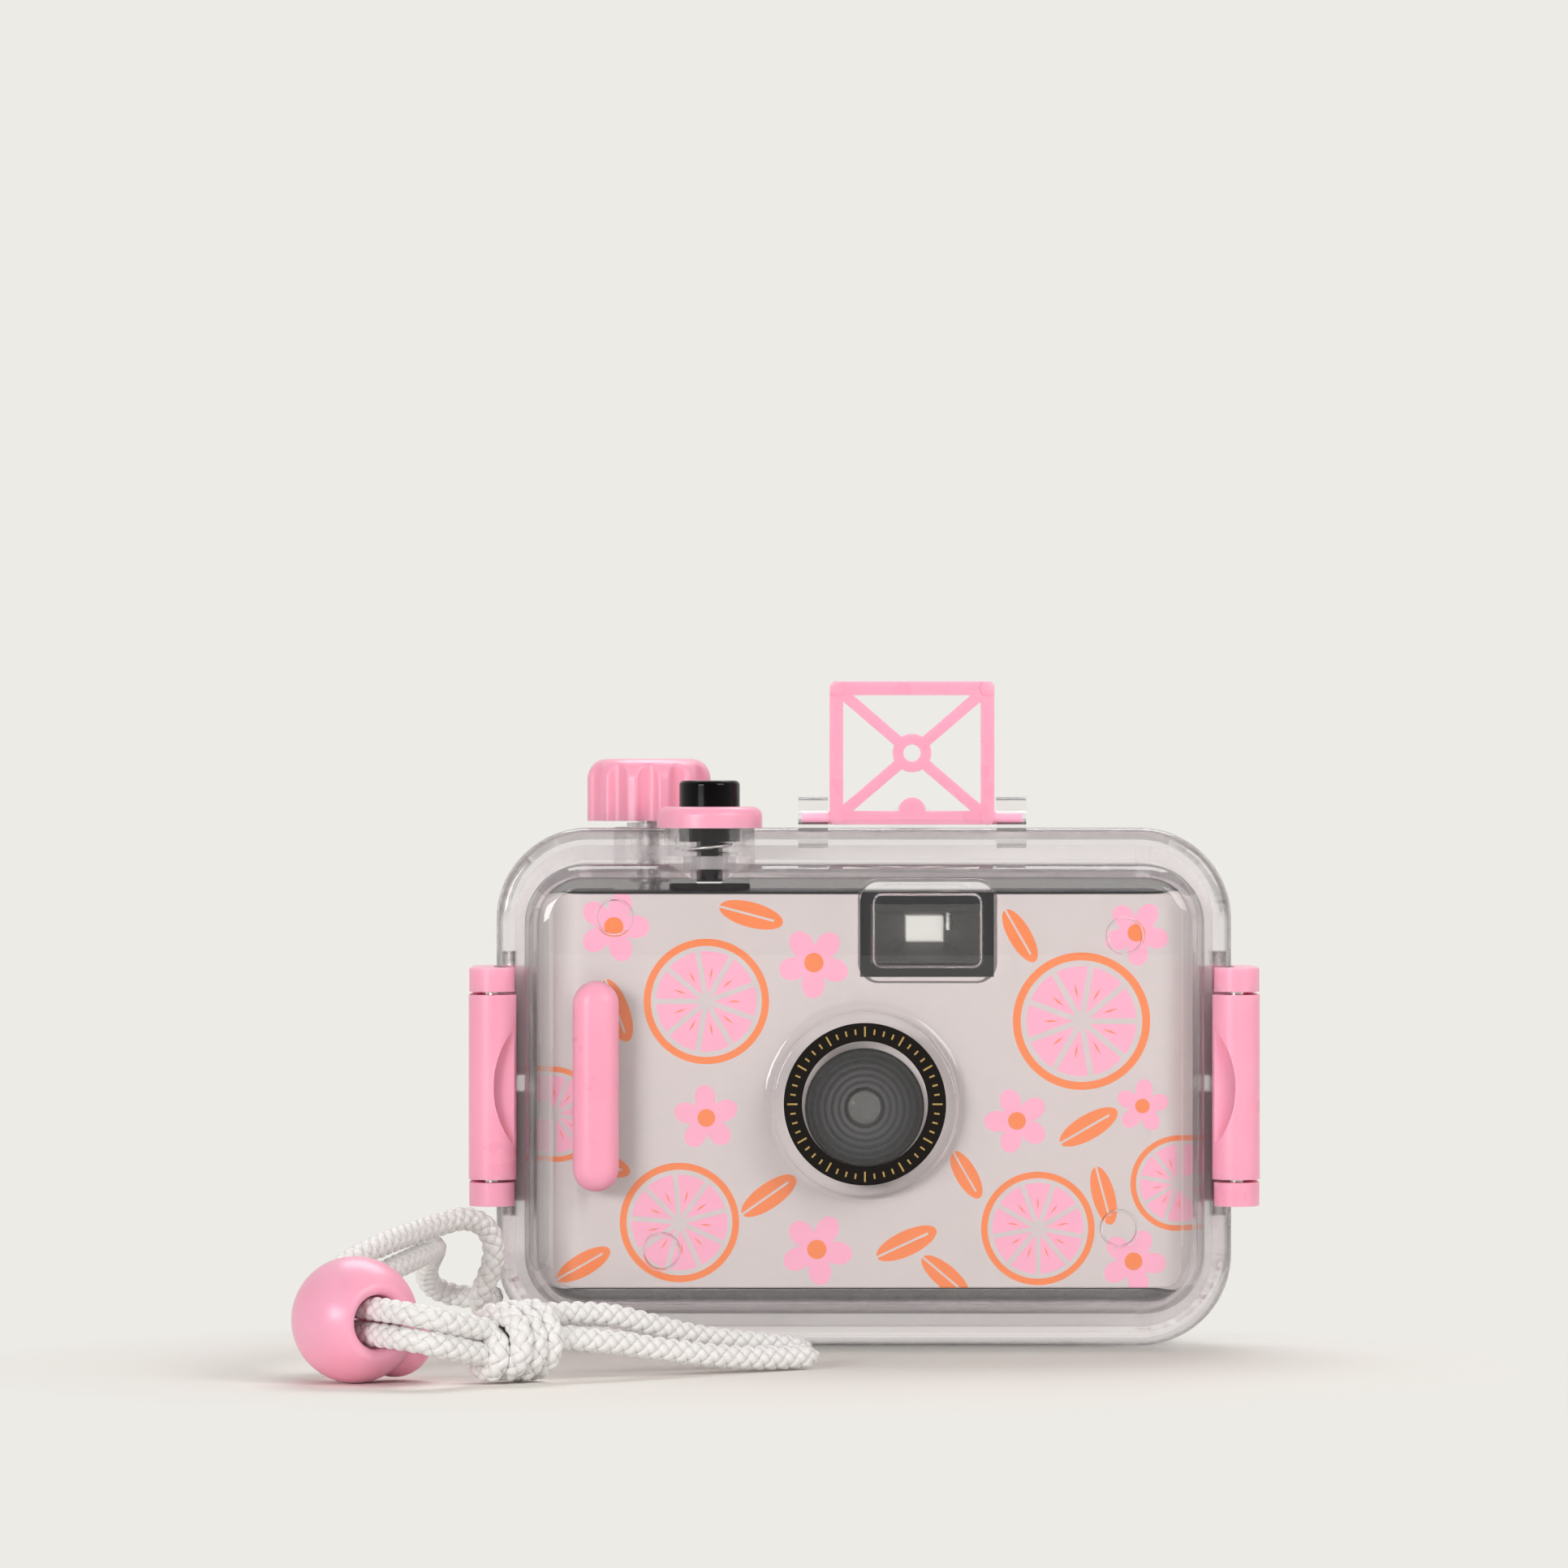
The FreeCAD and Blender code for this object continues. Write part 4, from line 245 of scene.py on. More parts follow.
nylon_braid = braid_finish()
melted_end = Finish("MeltedNylon", (0.86, 0.80, 0.68), Roughness=0.3,
                    Subsurface_Weight=0.4, Subsurface_Scale=0.001)
melted_end.grain(900.0, 0.3, 0.0002)

braid_peak = 0.00203
core_radius = 0.00105
yarns_each_way = 4
yarn_width = 0.00172
yarn_thickness = 0.00104
yarn_weave = 0.00028
yarn_lay = 0.0098
yarn_step = 0.00026
yarn_corners = 8
fibre_run = 10
melt_reach = 0.0022
melt_pinch = 0.62


def smooth_route(name, points):
    """Points along the smooth curve that a route's corners pull on."""
    curve = bpy.data.curves.new(name, "CURVE")
    curve.dimensions = "3D"
    curve.resolution_u = 24
    spline = curve.splines.new("NURBS")
    spline.points.add(len(points) - 1)
    for point, place in zip(spline.points, points):
        point.co = (*[value / 1000 for value in place], 1)
    spline.order_u = 3
    spline.use_endpoint_u = True
    guide = bpy.data.objects.new(name, curve)
    mesh = bpy.data.meshes.new_from_object(guide)
    route = np.array([vertex.co[:] for vertex in mesh.vertices])
    bpy.data.objects.remove(guide)
    bpy.data.meshes.remove(mesh)
    return route


def evenly(route, step):
    """The same line in even steps, with its tangents and a frame that doesn't twist."""
    lengths = np.r_[0, np.cumsum(np.linalg.norm(np.diff(route, axis=0), axis=1))]
    count = max(4, int(lengths[-1] / step))
    reach = np.linspace(0, lengths[-1], count)
    line = np.stack([np.interp(reach, lengths, route[:, axis]) for axis in range(3)], axis=1)
    tangent = np.gradient(line, axis=0)
    tangent /= np.linalg.norm(tangent, axis=1)[:, None]
    side = np.zeros_like(line)
    start = np.cross(tangent[0], (0.0, 0.0, 1.0))
    side[0] = start / np.linalg.norm(start)
    for index in range(1, count):
        carried = side[index - 1] - tangent[index] * np.dot(side[index - 1], tangent[index])
        side[index] = carried / np.linalg.norm(carried)
    return reach, line, tangent, side


def tube_rings(line, out, across, half_out, half_across, corners):
    """Rings of corners round a line, as wide and thick as a yarn."""
    turn = np.linspace(0, 2 * np.pi, corners, endpoint=False)
    return (line[:, None, :]
            + out[:, None, :] * (np.cos(turn)[None, :, None] * half_out[:, None, None])
            + across[:, None, :] * (np.sin(turn)[None, :, None] * half_across[:, None, None]))


def ring_faces(start, count, corners):
    """Quads between rings, and a lid at either end."""
    faces = []
    for ring in range(count - 1):
        low = start + ring * corners
        for corner in range(corners):
            after = (corner + 1) % corners
            faces.append((low + corner, low + after, low + corners + after,
                          low + corners + corner))
    top = start + (count - 1) * corners
    faces.append(tuple(start + corner for corner in reversed(range(corners))))
    faces.append(tuple(top + corner for corner in range(corners)))
    return faces


def braid(name, route, body, cut=False):
    """Eight yarns and a core along a route. A cut far end is melted together and drawn in."""
    reach, line, tangent, side = evenly(route, yarn_step)
    other = np.cross(tangent, side)
    total = reach[-1]
    close = np.ones_like(reach)
    if cut:
        pinch = melt_pinch + (total - reach) / melt_reach * (1 - melt_pinch)
        close = np.clip(pinch, 0, 1)
    turn = 2 * np.pi * reach / yarn_lay
    middle = braid_peak - yarn_thickness / 2 - yarn_weave
    # Each tube's shift takes its fibres from another place in the noise.
    tubes, shifts = [], []
    for way, way_shift in ((1, 0.11), (-1, 0.6)):
        for number in range(yarns_each_way):
            angle = way * turn + number * 2 * np.pi / yarns_each_way
            away = middle + way * yarn_weave * np.cos(yarns_each_way * turn)
            out = side * np.cos(angle)[:, None] + other * np.sin(angle)[:, None]
            centre = line + out * (away * close)[:, None]
            run = np.gradient(centre, axis=0)
            run /= np.linalg.norm(run, axis=1)[:, None]
            across = np.cross(run, out)
            across /= np.linalg.norm(across, axis=1)[:, None]
            tubes.append(tube_rings(centre, np.cross(across, run), across,
                                    yarn_thickness / 2 * close, yarn_width / 2 * close,
                                    yarn_corners))
            shifts.append(number * 0.37 + way_shift)
    tubes.append(tube_rings(line, side, other, core_radius * close, core_radius * close,
                            yarn_corners))
    shifts.append(0.5)
    per_tube = len(reach) * yarn_corners
    faces = [face for number in range(len(tubes))
             for face in ring_faces(number * per_tube, len(reach), yarn_corners)]
    mesh = bpy.data.meshes.new(name)
    mesh.from_pydata(np.concatenate(tubes).reshape(-1, 3).tolist(), [], faces)
    layer = mesh.uv_layers.new(name="yarn")
    loops = np.empty(len(mesh.loops), dtype=np.int64)
    mesh.loops.foreach_get("vertex_index", loops)
    round_yarn = (loops % yarn_corners) / yarn_corners + np.array(shifts)[loops // per_tube]
    along = reach[(loops % per_tube) // yarn_corners] * fibre_run
    layer.data.foreach_set("uv", np.stack([round_yarn, along], axis=1).ravel())
    mesh.materials.append(nylon_braid)
    mesh.materials.append(melted_end.material)
    for polygon in mesh.polygons:
        melted = cut and len(polygon.vertices) == yarn_corners
        polygon.material_index = int(melted)
        polygon.use_smooth = not melted
    piece = bpy.data.objects.new(name, mesh)
    scene.collection.objects.link(piece)
    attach(piece, body)
    return piece, line, total


long_route = smooth_route("LongRoute", [
    (-63.0, -3.0, 8.0), (-63.0, -7.2, 8.0), (-64.0, -12.6, 6.4), (-64.6, -17.0, 9.0),
    (-62.6, -19.6, 13.0), (-61.6, -20.8, 17.4), (-63.0, -22.6, 21.3), (-66.4, -26.4, 23.0),
    (-70.6, -32.4, 22.0), (-74.8, -41.4, 21.0), (-78.8, -51.2, 20.0), (-83.4, -59.8, 18.0),
    (-88.2, -66.6, 14.4), (-89.6, -73.6, 12.3), (-75.0, -96.0, 12.05), (-69.6, -98.6, 11.3),
    (-64.2, -94.0, 9.7), (-59.5, -88.2, 8.4)])
short_route = smooth_route("ShortRoute", [
    (-63.0, -3.0, 8.0), (-63.0, 1.0, 8.0), (-65.0, 6.0, 7.4), (-70.0, 7.8, 7.6),
    (-73.6, 3.8, 9.4), (-74.2, -2.6, 12.4), (-72.8, -9.8, 15.6), (-71.8, -18.6, 17.4),
    (-71.8, -27.4, 17.9), (-73.0, -36.0, 17.3), (-75.8, -45.0, 16.4), (-80.0, -54.0, 14.8),
    (-85.8, -62.6, 11.6), (-89.6, -73.6, 8.15), (-75.0, -96.0, 8.05), (-69.6, -98.6, 7.3),
    (-64.2, -94.0, 5.7), (-59.5, -88.2, 4.4)])
front_route = smooth_route("FrontTailRoute", [
    (-52.0, -86.0, 7.4), (-43.0, -80.5, 6.4), (-34.0, -74.8, 4.6), (-25.0, -69.0, 3.0),
    (-16.5, -62.8, 2.15), (-8.5, -57.0, 2.15)])
rear_route = smooth_route("RearTailRoute", [
    (-52.5, -83.0, 10.6), (-43.5, -77.0, 10.7), (-35.5, -71.0, 8.3), (-28.0, -65.0, 5.8),
    (-18.5, -58.8, 4.3), (-9.6, -52.6, 3.0)])

long_strand, long_line, long_length = braid("strap_long", long_route, "front_case")
short_strand, short_line, short_length = braid("strap_short", short_route, "front_case")
front_tail, front_line, front_length = braid("strap_tail_near", front_route, "front_case",
                                             cut=True)
rear_tail, rear_line, rear_length = braid("strap_tail_far", rear_route, "front_case", cut=True)

knot_middle = np.array([-0.0563, -0.0857, 0.0067])
knot_axis = np.array([0.81, 0.5864, 0.0])
knot_turns = 3.9
knot_start = 0.4
knot_reach = 0.0057
knot_radius = 0.00452
knot_slant = 0.0007
knot_slack = 0.035
steps_per_turn = 60


def knot_route():
    """Cord wound round the knot's axis, slack and askew. Its first and its last tenth are
    tucked in."""
    up = np.array([0.0, 0.0, 1.0])
    steps = np.linspace(0, 1, int(knot_turns * steps_per_turn))
    turn = knot_start + steps * knot_turns * 2 * np.pi
    travel = knot_reach * (2 * steps - 1) + knot_slant * np.sin(turn + 0.6)
    tuck = np.clip(np.minimum(steps, 1 - steps) / 0.10, 0.3, 1)
    away = knot_radius * tuck * (1 + knot_slack * np.sin(turn * 1.7 + 0.4))
    return (knot_middle + travel[:, None] * knot_axis
            + (away * np.cos(turn))[:, None] * up
            + (away * np.sin(turn))[:, None] * np.cross(knot_axis, up))


knot = braid("strap_knot_wraps", knot_route(), "front_case")[0]
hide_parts("strap_knot")
for node, piece, line, length in (("strap_strand_long", long_strand, long_line, long_length),
                                  ("strap_strand_short", short_strand, short_line,
                                   short_length)):
    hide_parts(node)
for node, piece, line, length in (("strap_tail_front", front_tail, front_line, front_length),
                                  ("strap_tail_rear", rear_tail, rear_line, rear_length)):
    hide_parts(node)


# Table and backdrop: one pale matt sheet, with soft lights at the right, at the left and above.
# Away from the object's shadow, the camera and the clear plastic see its plain colour. Gloss
# shows a darker room on the viewer's side.

backdrop = (0.846, 0.830, 0.791)
room_light = (0.31, 0.295, 0.288)
dark_side = (0.16, 0.145, 0.148)
darkest_at = -0.85
pale_from = 0.05
shadow_middle = (-0.02, -0.05, 0.0)
shadow_reach = (0.135, 0.105, 1.0)
fade_start = 0.6
table_side = 6


def table_finish():
    """Matt warm white paper that keeps the object's shadow and fades into the backdrop."""
    paper = Finish("BackdropPaper", (0.845, 0.825, 0.785), Roughness=0.9,
                   Specular_IOR_Level=0.2)
    near = paper.node("ShaderNodeMapping", {"Vector": paper.place(), "Scale": shadow_reach,
                                            "Location": shadow_middle},
                      vector_type="TEXTURE")
    fade = paper.spread(paper.reach(near), fade_start, 1.0)
    glow = paper.node("ShaderNodeEmission", {"Color": backdrop})
    mix = paper.node("ShaderNodeMixShader", {0: fade * paper.background(),
                                             1: Flow(paper, paper.shader.outputs[0]), 2: glow})
    paper.feed(paper.tree.nodes["Material Output"].inputs["Surface"], mix)
    return paper.material


edge = table_side / 2
table_mesh = bpy.data.meshes.new("Table")
table_mesh.from_pydata([(-edge, -edge, 0), (edge, -edge, 0), (edge, edge, 0), (-edge, edge, 0)],
                       [], [(0, 1, 2, 3)])
table_mesh.materials.append(table_finish())
table = bpy.data.objects.new("Table", table_mesh)
scene.collection.objects.link(table)

room = bpy.data.worlds.new("Room")
room.use_nodes = True
air = Shading(room.node_tree)
toward_back = air.share(air.node("ShaderNodeTexCoord", output="Generated"), "Y")
mirrored = air.blend(air.spread(toward_back, darkest_at, pale_from), dark_side, backdrop)
in_gloss = air.node("ShaderNodeLightPath", output="Glossy Depth") > 0.5
not_through = air.node("ShaderNodeLightPath", output="Transmission Depth") < 0.5
seen = air.blend(in_gloss * not_through, backdrop, mirrored)
air.feed(room.node_tree.nodes["Background"].inputs["Color"],
         air.blend(air.background(), room_light, seen))
scene.world = room


def softbox(name, place, target, width, height, watts, colour):
    """A lamp with a flat cloth front, which isn't seen through the clear plastic."""
    light = bpy.data.lights.new(name, "AREA")
    light.shape = "RECTANGLE"
    light.size = width
    light.size_y = height
    light.energy = watts
    light.color = colour
    holder = bpy.data.objects.new(name, light)
    holder.location = place
    aim = Vector(target) - Vector(place)
    holder.rotation_euler = aim.to_track_quat("-Z", "Y").to_euler()
    holder.visible_transmission = False
    scene.collection.objects.link(holder)


softbox("Key", place=(0.55, -0.60, 0.45), target=(0, 0, 0.04), width=0.4, height=0.4,
        watts=3.4, colour=(1.0, 0.985, 0.96))
softbox("Fill", place=(-0.62, -0.95, 0.26), target=(0, 0, 0.04), width=0.4, height=0.3,
        watts=5.8, colour=(1.0, 0.99, 0.99))
softbox("Top", place=(0.05, 0.50, 0.85), target=(0, 0, 0.0), width=0.7, height=0.4,
        watts=4.7, colour=(1.0, 0.995, 0.99))


# Clear housing: both halves are injection moulded in clear polycarbonate, polished in the tool,
# with a faint lilac cast where the walls are thick. The mould left four round marks on the
# front and on the back, whose places are given across and up.

def dress(names, finish):
    """Give CAD pieces one finish."""
    for name in names:
        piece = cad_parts[name]
        piece.data.materials.clear()
        piece.data.materials.append(finish.material)


gate_marks = ((-0.0419, 0.0726), (0.0436, 0.0695), (-0.034, 0.0167), (0.0426, 0.0205))
mark_radius = 0.003
mark_line = 0.00025
mark_height = 0.0006
clear_lilac = (0.74, 0.60, 0.66)
lilac_density = 12.0
clear_solid = 0.72
foot_height = 0.012
foot_shade = 0.36
body_shade = 0.05


def clear_finish():
    """Smooth clear plastic that darkens to lilac where a wall is seen along its length, and
    lets the light through to the camera inside, with the round marks of the mould."""
    clear = Finish("ClearPolycarbonate", (0.99, 0.985, 0.99), Roughness=0.01, IOR=1.5,
                   Transmission_Weight=1.0)
    where = clear.place()

    def round_mark(across, up):
        """1 on a fine ring at a place on the front and on the back."""
        spot = clear.node("ShaderNodeMapping", {"Vector": where, "Location": (across, 0.0, up),
                                                "Scale": (1.0, 1000.0, 1.0)},
                          vector_type="TEXTURE")
        off_line = (clear.reach(spot) - mark_radius).size()
        return clear.spread(off_line, 0.0, mark_line, 1.0, 0.0)

    marks = round_mark(*gate_marks[0])
    for across, up in gate_marks[1:]:
        marks = marks.most(round_mark(across, up))
    clear.bump(marks, 1.0, mark_height)
    clear.drive("Roughness", clear.spread(clear.noise(where, 24.0), 0.35, 0.7, 0.0, 0.004))
    stopped = clear.spread(clear.share(where, "Z"), 0.0, foot_height, foot_shade, body_shade)
    clear.drive("Alpha", clear.spread(clear.ray("Shadow"), 0.0, 1.0, clear_solid, stopped))
    body = clear.node("ShaderNodeVolumeAbsorption", {"Color": clear_lilac,
                                                     "Density": lilac_density})
    clear.feed(clear.tree.nodes["Material Output"].inputs["Volume"], body)
    return clear


dress(["front_shell", "rear_shell"], clear_finish())


# Pink mouldings: latches, finder, grip, knob, collar and cord lock, all of one satin pink
# plastic that lets a little light in.

pink_deep = (1.0, 0.375, 0.515)
pink_light = (1.0, 0.405, 0.545)


def pink_finish():
    """Satin pink whose colour and gloss drift a little together, with a fine grain."""
    pink = Finish("PinkPlastic", (1.0, 0.39, 0.53), Roughness=0.3, Subsurface_Weight=0.5,
                  Subsurface_Scale=0.005, Subsurface_Radius=(1.0, 0.5, 0.55),
                  Specular_IOR_Level=0.45)
    drift = pink.noise(pink.place(), 90.0, 3.0)
    pink.drive("Base Color", pink.blend(pink.vary(drift), pink_deep, pink_light))
    pink.drive("Roughness", pink.vary(drift, 0.26, 0.36))
    pink.grain(1800.0, 0.06, 0.00008)
    return pink


dress(["left_link", "right_link", "left_lever", "right_lever", "finder_frame", "grip_bar",
       "winding_knob", "shutter_collar", "cord_lock_body", "cord_lock_plunger"], pink_finish())


# Seals: milky silicone rings. The large one lies in the groove of the rear flange, and a small one
# sits round the push button's stem and round the winding shaft.

silicone = Finish("Silicone", (0.93, 0.90, 0.91), Roughness=0.22, IOR=1.41,
                  Transmission_Weight=0.8)
silicone.drive("Alpha", 0.85 - silicone.ray("Shadow") * 0.5)
silicone.grain(700.0, 0.1, 0.0001)
dress(["housing_gasket", "shutter_seal", "winding_seal"], silicone)


# Push button and the camera's own button under it: glossy black plastic, moulded with their
# stems.

black_gloss = Finish("BlackGloss", (0.003, 0.0025, 0.003), Roughness=0.12,
                     Specular_IOR_Level=0.15)
black_gloss.uneven_gloss(160.0, 0.08, 0.2)
dress(["shutter_plunger", "camera_shutter_button"], black_gloss)


# Port ring: a black ring pressed into the face of the lens port. A scale of plain gold ticks is
# printed on it.

ring_black = Finish("RingBlack", (0.007, 0.0055, 0.0045), Roughness=0.35,
                    Specular_IOR_Level=0.15)
ring_black.grain(1500.0, 0.05, 0.00005)
dress(["port_ring"], ring_black)
ring_gold = Finish("RingGold", (0.50, 0.34, 0.11), Roughness=0.38, Metallic=0.55)
ring_gold.uneven_gloss(1200.0, 0.3, 0.5)
port_height = 0.0415
long_tick_every = 4.0


def tick_scale():
    """A tree that sets ticks round the ring, some of them long."""
    tree = bpy.data.node_groups.new("TickScale", "GeometryNodeTree")
    for name, kind, value in (("Radius", "NodeSocketFloat", 0.0121),
                              ("Ticks", "NodeSocketInt", 48),
                              ("Width", "NodeSocketFloat", 0.00028),
                              ("Height", "NodeSocketFloat", 0.00006),
                              ("Short", "NodeSocketFloat", 0.0009),
                              ("Long", "NodeSocketFloat", 0.0017)):
        socket = tree.interface.new_socket(name, in_out="INPUT", socket_type=kind)
        socket.default_value = value
    tree.interface.new_socket("Geometry", in_out="OUTPUT", socket_type="NodeSocketGeometry")
    scale = Shading(tree)

    def given(name):
        """One of the tree's own sizes."""
        return scale.node("NodeGroupInput", output=name)

    circle = scale.node("GeometryNodeMeshCircle", {"Vertices": given("Ticks"),
                                                   "Radius": given("Radius")})
    index = scale.node("GeometryNodeInputIndex")
    is_long = index.sum("MODULO", index, long_tick_every) < 0.5
    length = scale.spread(is_long, 0.0, 1.0, given("Short"), given("Long"))
    block = scale.node("ShaderNodeCombineXYZ", {"X": length, "Y": given("Width"),
                                                "Z": given("Height")})
    cube = scale.node("GeometryNodeMeshCube", {"Size": (1.0, 1.0, 1.0)})
    outward = scale.node("FunctionNodeAlignEulerToVector",
                         {"Vector": scale.node("GeometryNodeInputPosition")}, axis="X")
    copies = scale.node("GeometryNodeInstanceOnPoints", {"Points": circle, "Instance": cube,
                                                         "Rotation": outward, "Scale": block})
    real = scale.node("GeometryNodeRealizeInstances", {0: copies})
    gold = scale.node("GeometryNodeSetMaterial", {"Geometry": real,
                                                  "Material": ring_gold.material})
    scale.feed(tree.nodes.new("NodeGroupOutput").inputs[0], gold)
    return tree


def grown(name, tree):
    """Run a node tree on an empty mesh and keep the result as a plain mesh."""
    seed = bpy.data.objects.new(name + "Seed", bpy.data.meshes.new(name + "Seed"))
    scene.collection.objects.link(seed)
    modifier = seed.modifiers.new("Tree", "NODES")
    modifier.node_group = tree
    bpy.context.view_layer.update()
    shown = seed.evaluated_get(bpy.context.evaluated_depsgraph_get())
    mesh = bpy.data.meshes.new_from_object(shown)
    bpy.data.objects.remove(seed)
    mesh.name = name
    return mesh


ring_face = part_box("port_ring")[0][1]
ticks_mesh = grown("port_ring_ticks", tick_scale())
ticks_mesh.transform(Matrix.Translation((0, ring_face, port_height))
                     @ Matrix.Rotation(math.radians(90), 4, "X"))
ticks = bpy.data.objects.new("port_ring_ticks", ticks_mesh)
scene.collection.objects.link(ticks)
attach(ticks, "front_case")


# Printed card: warm grey card wrapped round the camera's front, with citrus slices, blossoms
# and leaves in pink and orange. Each has its place across and up, its turn in degrees and its
# size, with lengths in millimetres. Lengths within a motif are shares of its size.

card_shade = (0.53, 0.487, 0.48)
card_light = (0.56, 0.517, 0.51)
print_orange = (0.78, 0.205, 0.058)
print_pink = (0.80, 0.36, 0.50)
citrus_slices = ((-26.5, 58.5, 20, 10.5), (-31.0, 21.5, 65, 10.0), (36.3, 55.2, 0, 11.5),
                 (29.0, 20.5, 50, 9.5), (52.5, 28.0, 30, 8.0), (-52.0, 39.5, 10, 8.0))
blossoms = ((-42.0, 71.0, 0, 6.0), (-8.5, 65.0, 20, 6.0), (-26.5, 39.0, 50, 5.5),
            (-8.0, 17.0, 10, 6.0), (25.5, 38.5, 35, 5.5), (45.5, 70.0, 15, 5.5),
            (46.5, 41.0, 60, 4.5), (45.0, 15.0, 5, 5.5))
leaves = ((-19.0, 73.0, 15, 5.5, 2.1), (-41.5, 57.0, 70, 5.5, 2.1), (-16.0, 26.0, -35, 5.5, 2.1),
          (-44.0, 31.5, 20, 5.0, 1.9), (7.0, 18.0, -25, 5.5, 2.1), (13.5, 12.5, 40, 5.0, 1.9),
          (26.0, 69.5, 60, 5.0, 1.9), (37.5, 37.5, -30, 5.5, 2.1), (17.0, 29.5, 60, 4.5, 1.8),
          (40.0, 26.0, 75, 5.0, 1.9), (-47.0, 14.5, -30, 5.0, 1.9))
slice_segments = 9
flesh_start = 0.12
flesh_end = 0.80
membrane_half = 0.042
peel_start = 0.885
pip_place = 0.44
pip_angle = 0.35
pip_stretch = 2.2
pip_slimness = 1.6
pip_size = 0.055
petals = 5
petal_taper = 1.35
heart_size = 0.27
rib_half = 0.09
rib_end = 0.72


def card_finish():
    """Card whose drawing is part of its own colour, one motif laid over the next."""
    card = Finish("PrintedCard", (0.66, 0.60, 0.59), Roughness=0.42)
    where = card.place()
    paper = card.noise(where, 500.0, 3.0)
    ground = card.blend(paper, card_shade, card_light)

    def unit(across, up, turn, wide, high):
        """A motif's own place, where 1 is its rim."""
        return card.node("ShaderNodeMapping",
                         {"Vector": where, "Location": (across / 1000, 0.0, up / 1000),
                          "Rotation": (0.0, math.radians(turn), 0.0),
                          "Scale": (wide / 1000, 1000.0, high / 1000)}, vector_type="TEXTURE")

    def polar(spot, parts):
        """Distance from the middle, and the angle folded into equal parts."""
        angle = spot.sum("ARCTAN2", card.share(spot, "Z"), card.share(spot, "X"))
        return card.reach(spot), angle.folded(math.pi / parts)

    def citrus_slice(drawn, spot):
        """Segments with a pip in each, bare pith between them, and peel round the rim."""
        away, angle = polar(spot, slice_segments)
        flesh = (away < flesh_end) * (away > flesh_start) * (angle * away > membrane_half)
        along_pip = ((away - pip_place) / pip_stretch).folded(1.0)
        across_pip = (angle - pip_angle).folded(1.0) * pip_slimness
        pip = (along_pip + across_pip < pip_size) * flesh
        peel = (away < 1.0) * (away > peel_start)
        drawn = card.blend(away < 1.0, drawn, ground)
        drawn = card.blend(flesh, drawn, print_pink)
        return card.blend(pip.most(peel), drawn, print_orange)

    def blossom(drawn, spot):
        """Round petals and an orange heart."""
        away, angle = polar(spot, petals)
        drawn = card.blend(away < 1.0 - angle * angle * petal_taper, drawn, print_pink)
        return card.blend(away < heart_size, drawn, print_orange)

    def leaf(drawn, spot):
        """A slim oval with its middle rib left bare."""
        near_rib = card.share(spot, "Z").folded(1.0) < rib_half
        rib = near_rib * (card.share(spot, "X") < rib_end)
        return card.blend((card.reach(spot) < 1.0) * (1 - rib), drawn, print_orange)

    drawn = ground
    for across, up, turn, size in citrus_slices:
        drawn = citrus_slice(drawn, unit(across, up, turn, size, size))
    for across, up, turn, size in blossoms:
        drawn = blossom(drawn, unit(across, up, turn, size, size))
    for across, up, turn, long, wide in leaves:
        drawn = leaf(drawn, unit(across, up, turn, long, wide))
    card.drive("Base Color", drawn)
    card.drive("Roughness", card.vary(paper, 0.38, 0.48))
    return card


dress(["print_card"], card_finish())


# Camera inside: body, film chambers, covers, back door, spool, sprocket and gears are black
# mouldings with a fine spark-eroded grain. The covers and the chassis are screwed together.

def moulded_black():
    """Matt black plastic whose gloss follows its grain."""
    black = Finish("MouldedBlack", (0.008, 0.008, 0.009), Roughness=0.5,
                   Specular_IOR_Level=0.2)
    pits = black.noise(black.place(), 1400.0, 3.0)
    black.drive("Roughness", black.vary(pits, 0.42, 0.6))
    black.bump(pits, 0.2, 0.00006)
    return black


dress(["camera_chassis", "camera_back_door", "door_latch", "aperture_plate", "shutter_blade",
       "take_up_spool", "film_sprocket", "rewind_knob", "advance_wheel", "drive_gear",
       "camera_top_cover", "camera_front_cover"], moulded_black())


# Lens barrel: satin black, with fine grooves turned round the lens's axis that keep stray light
# from the film.

lens_axis_height = 0.0407
groove_width = 0.00055
# Painted light and shade of the grooves: a lit and a shaded grey near the lens, and a lit and a
# shaded near-black at the rim.
painted_lit_near_lens = (0.10, 0.10, 0.104)
painted_shade_near_lens = (0.045, 0.045, 0.047)
painted_lit_at_rim = (0.024, 0.024, 0.026)
painted_shade_at_rim = (0.006, 0.006, 0.007)


def barrel_finish():
    """Grooves with painted light and shade, grey near the lens and nearly black at the rim."""
    barrel = Finish("BarrelBlack", (0.03, 0.03, 0.032), Roughness=0.45,
                    Specular_IOR_Level=0.1)
    round_axis = barrel.node("ShaderNodeMapping", {"Vector": barrel.place(),
                                                   "Location": (0.0, 0.0, -lens_axis_height),
                                                   "Scale": (1.0, 0.0, 1.0)})
    away = barrel.reach(round_axis)
    # Each groove is painted from a shaded side to a lit side, with no relief, and the painted
    # light fades from the lens towards the rim.
    groove = away.folded(groove_width) / groove_width
    rim = barrel.spread(away, 0.0025, 0.0085)
    bright = barrel.blend(rim, painted_lit_near_lens, painted_lit_at_rim)
    dark = barrel.blend(rim, painted_shade_near_lens, painted_shade_at_rim)
    barrel.drive("Base Color", barrel.blend(groove, dark, bright))
    barrel.uneven_gloss(300.0, 0.42, 0.55)
    return barrel


dress(["lens_barrel"], barrel_finish())


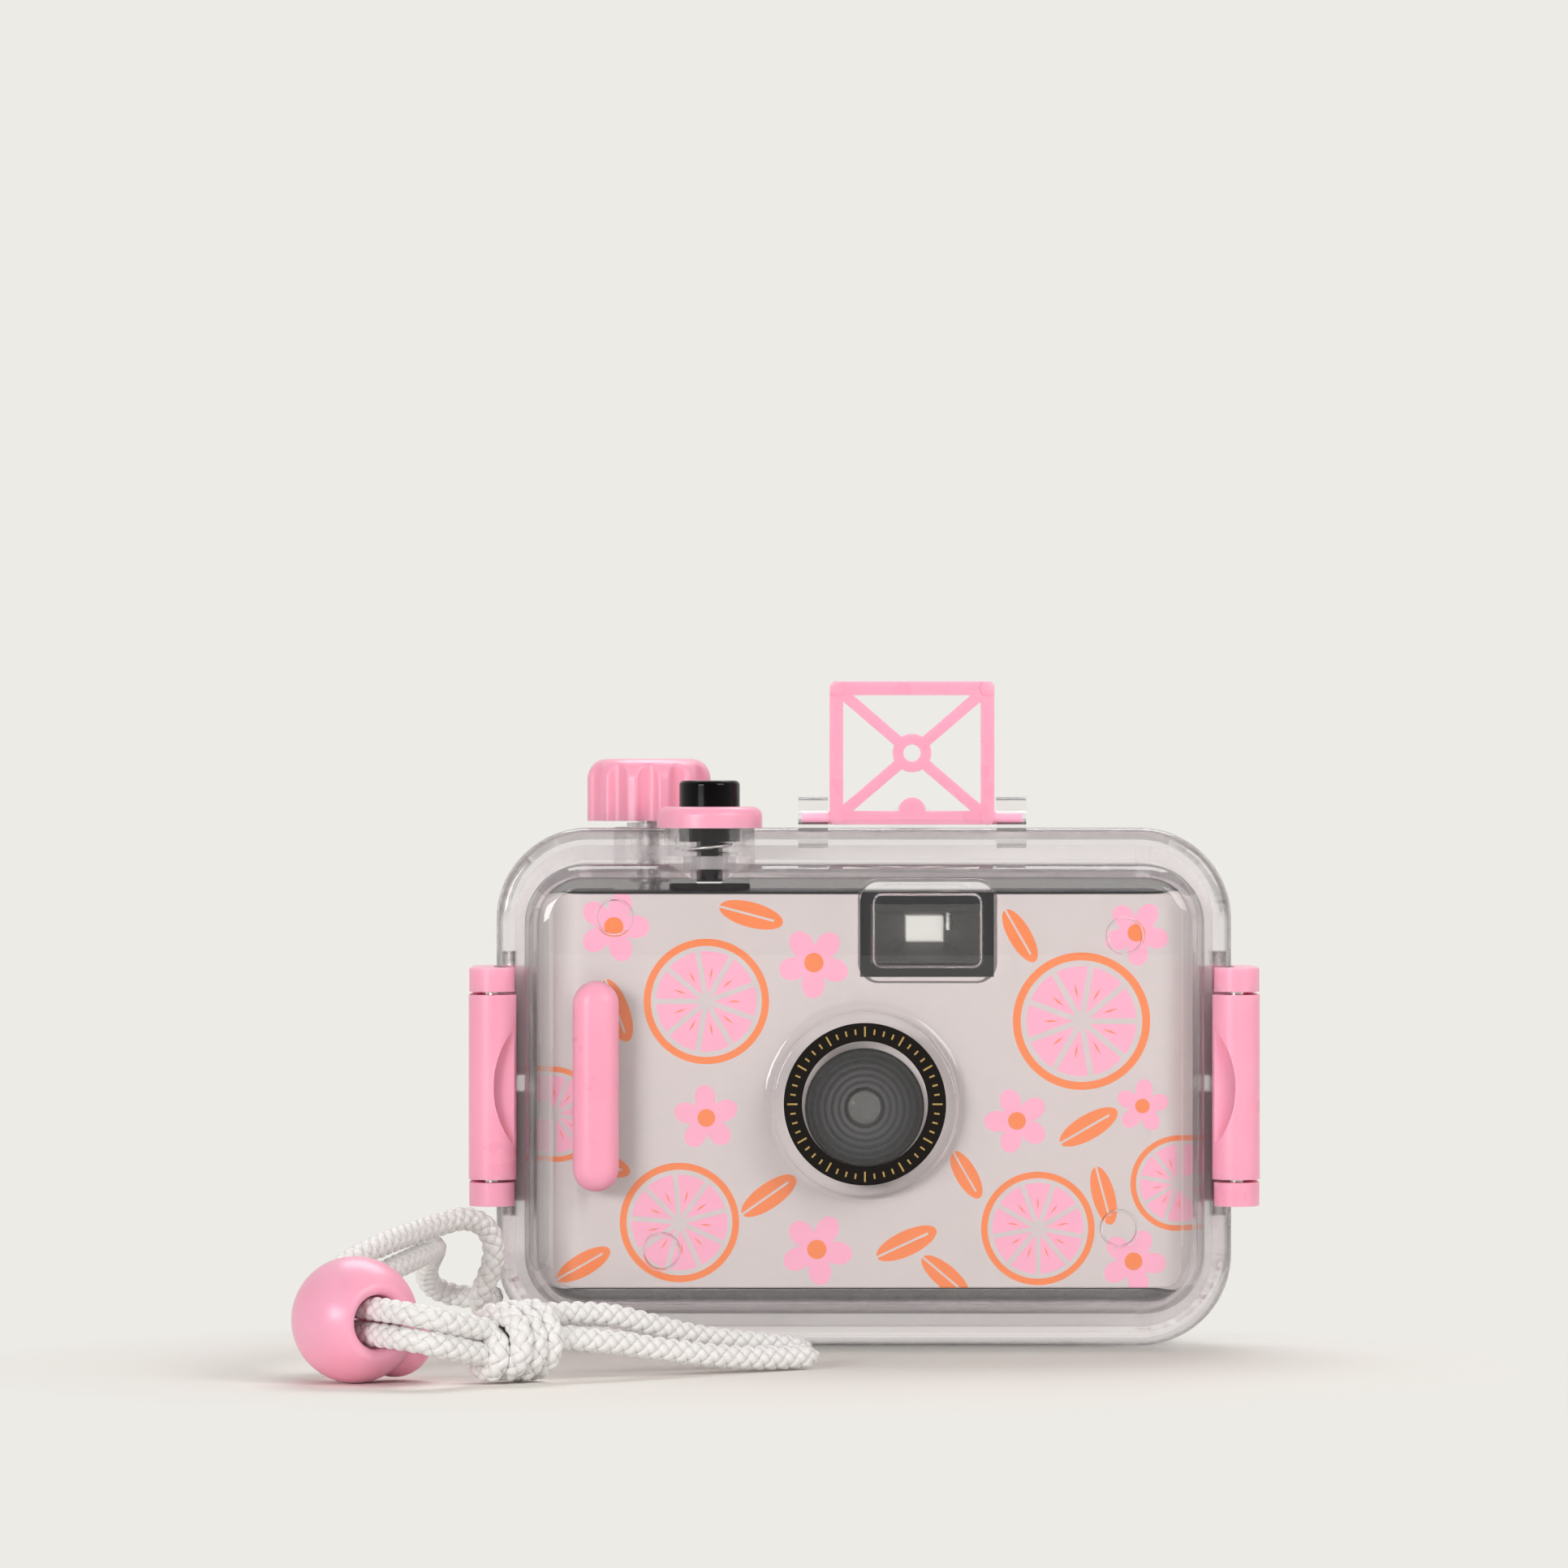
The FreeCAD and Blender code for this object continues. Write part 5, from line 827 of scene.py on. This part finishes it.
# Frame counter: a small disc of white plastic under the top cover, which turns on as the film
# is wound.

counter_white = Finish("CounterWhite", (0.75, 0.74, 0.72), Roughness=0.4)
counter_white.grain(800.0, 0.1, 0.00005)
dress(["frame_counter"], counter_white)


# Shafts, pins, clip, screws, pressure plate and its spring: bright steel, turned or pressed, with
# the fine unevenness of a drawn surface.

steel = Finish("BrightSteel", (0.80, 0.79, 0.78), Roughness=0.25, Metallic=1.0)
steel.uneven_gloss(900.0, 0.18, 0.34)
dress(["winding_clip", "winding_shaft", "latch_hinge_pins", "left_lever_pin",
       "right_lever_pin", "pressure_plate", "pressure_spring", "cover_screws",
       "shutter_blade_pin"], steel)


# Springs of the push button and the cord lock: wound of steel wire. Each stands on its seat.

button_way = (0.0, 0.0, -1.0)
lock_way = (-0.76862, -0.49961, 0.39951)
weld_gap = 1e-6


def closing_spring(node, way):
    """The wound spring as a steel copy of its CAD piece, with its doubled points merged."""
    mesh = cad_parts[node].data.copy()
    turns = bmesh.new()
    turns.from_mesh(mesh)
    bmesh.ops.remove_doubles(turns, verts=turns.verts, dist=weld_gap)
    turns.to_mesh(mesh)
    turns.free()
    mesh.materials.clear()
    mesh.materials.append(steel.material)
    spring = bpy.data.objects.new(node + "_wire", mesh)
    scene.collection.objects.link(spring)
    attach(spring, "front_case")
    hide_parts(node)
    spots = np.array([vertex.co[:] for vertex in mesh.vertices])
    reach = spots @ np.array(way)
    seat = spots[reach.argmax()].tolist()
    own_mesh(spring)


closing_spring("shutter_spring", button_way)
closing_spring("cord_lock_spring", lock_way)


# Lenses of the camera and of its viewfinder: polished glass, clear enough that the barrel and
# the chassis show behind them.

lens_glass = Finish("LensGlass", (0.985, 0.98, 0.97), Roughness=0.0, IOR=1.52,
                    Transmission_Weight=1.0)
lens_glass.drive("Alpha", lens_glass.spread(lens_glass.ray("Shadow"), 0.0, 1.0, 1.0, 0.1))
dress(["lens_front_element", "lens_rear_element", "viewfinder_front_lens",
       "viewfinder_rear_lens"], lens_glass)
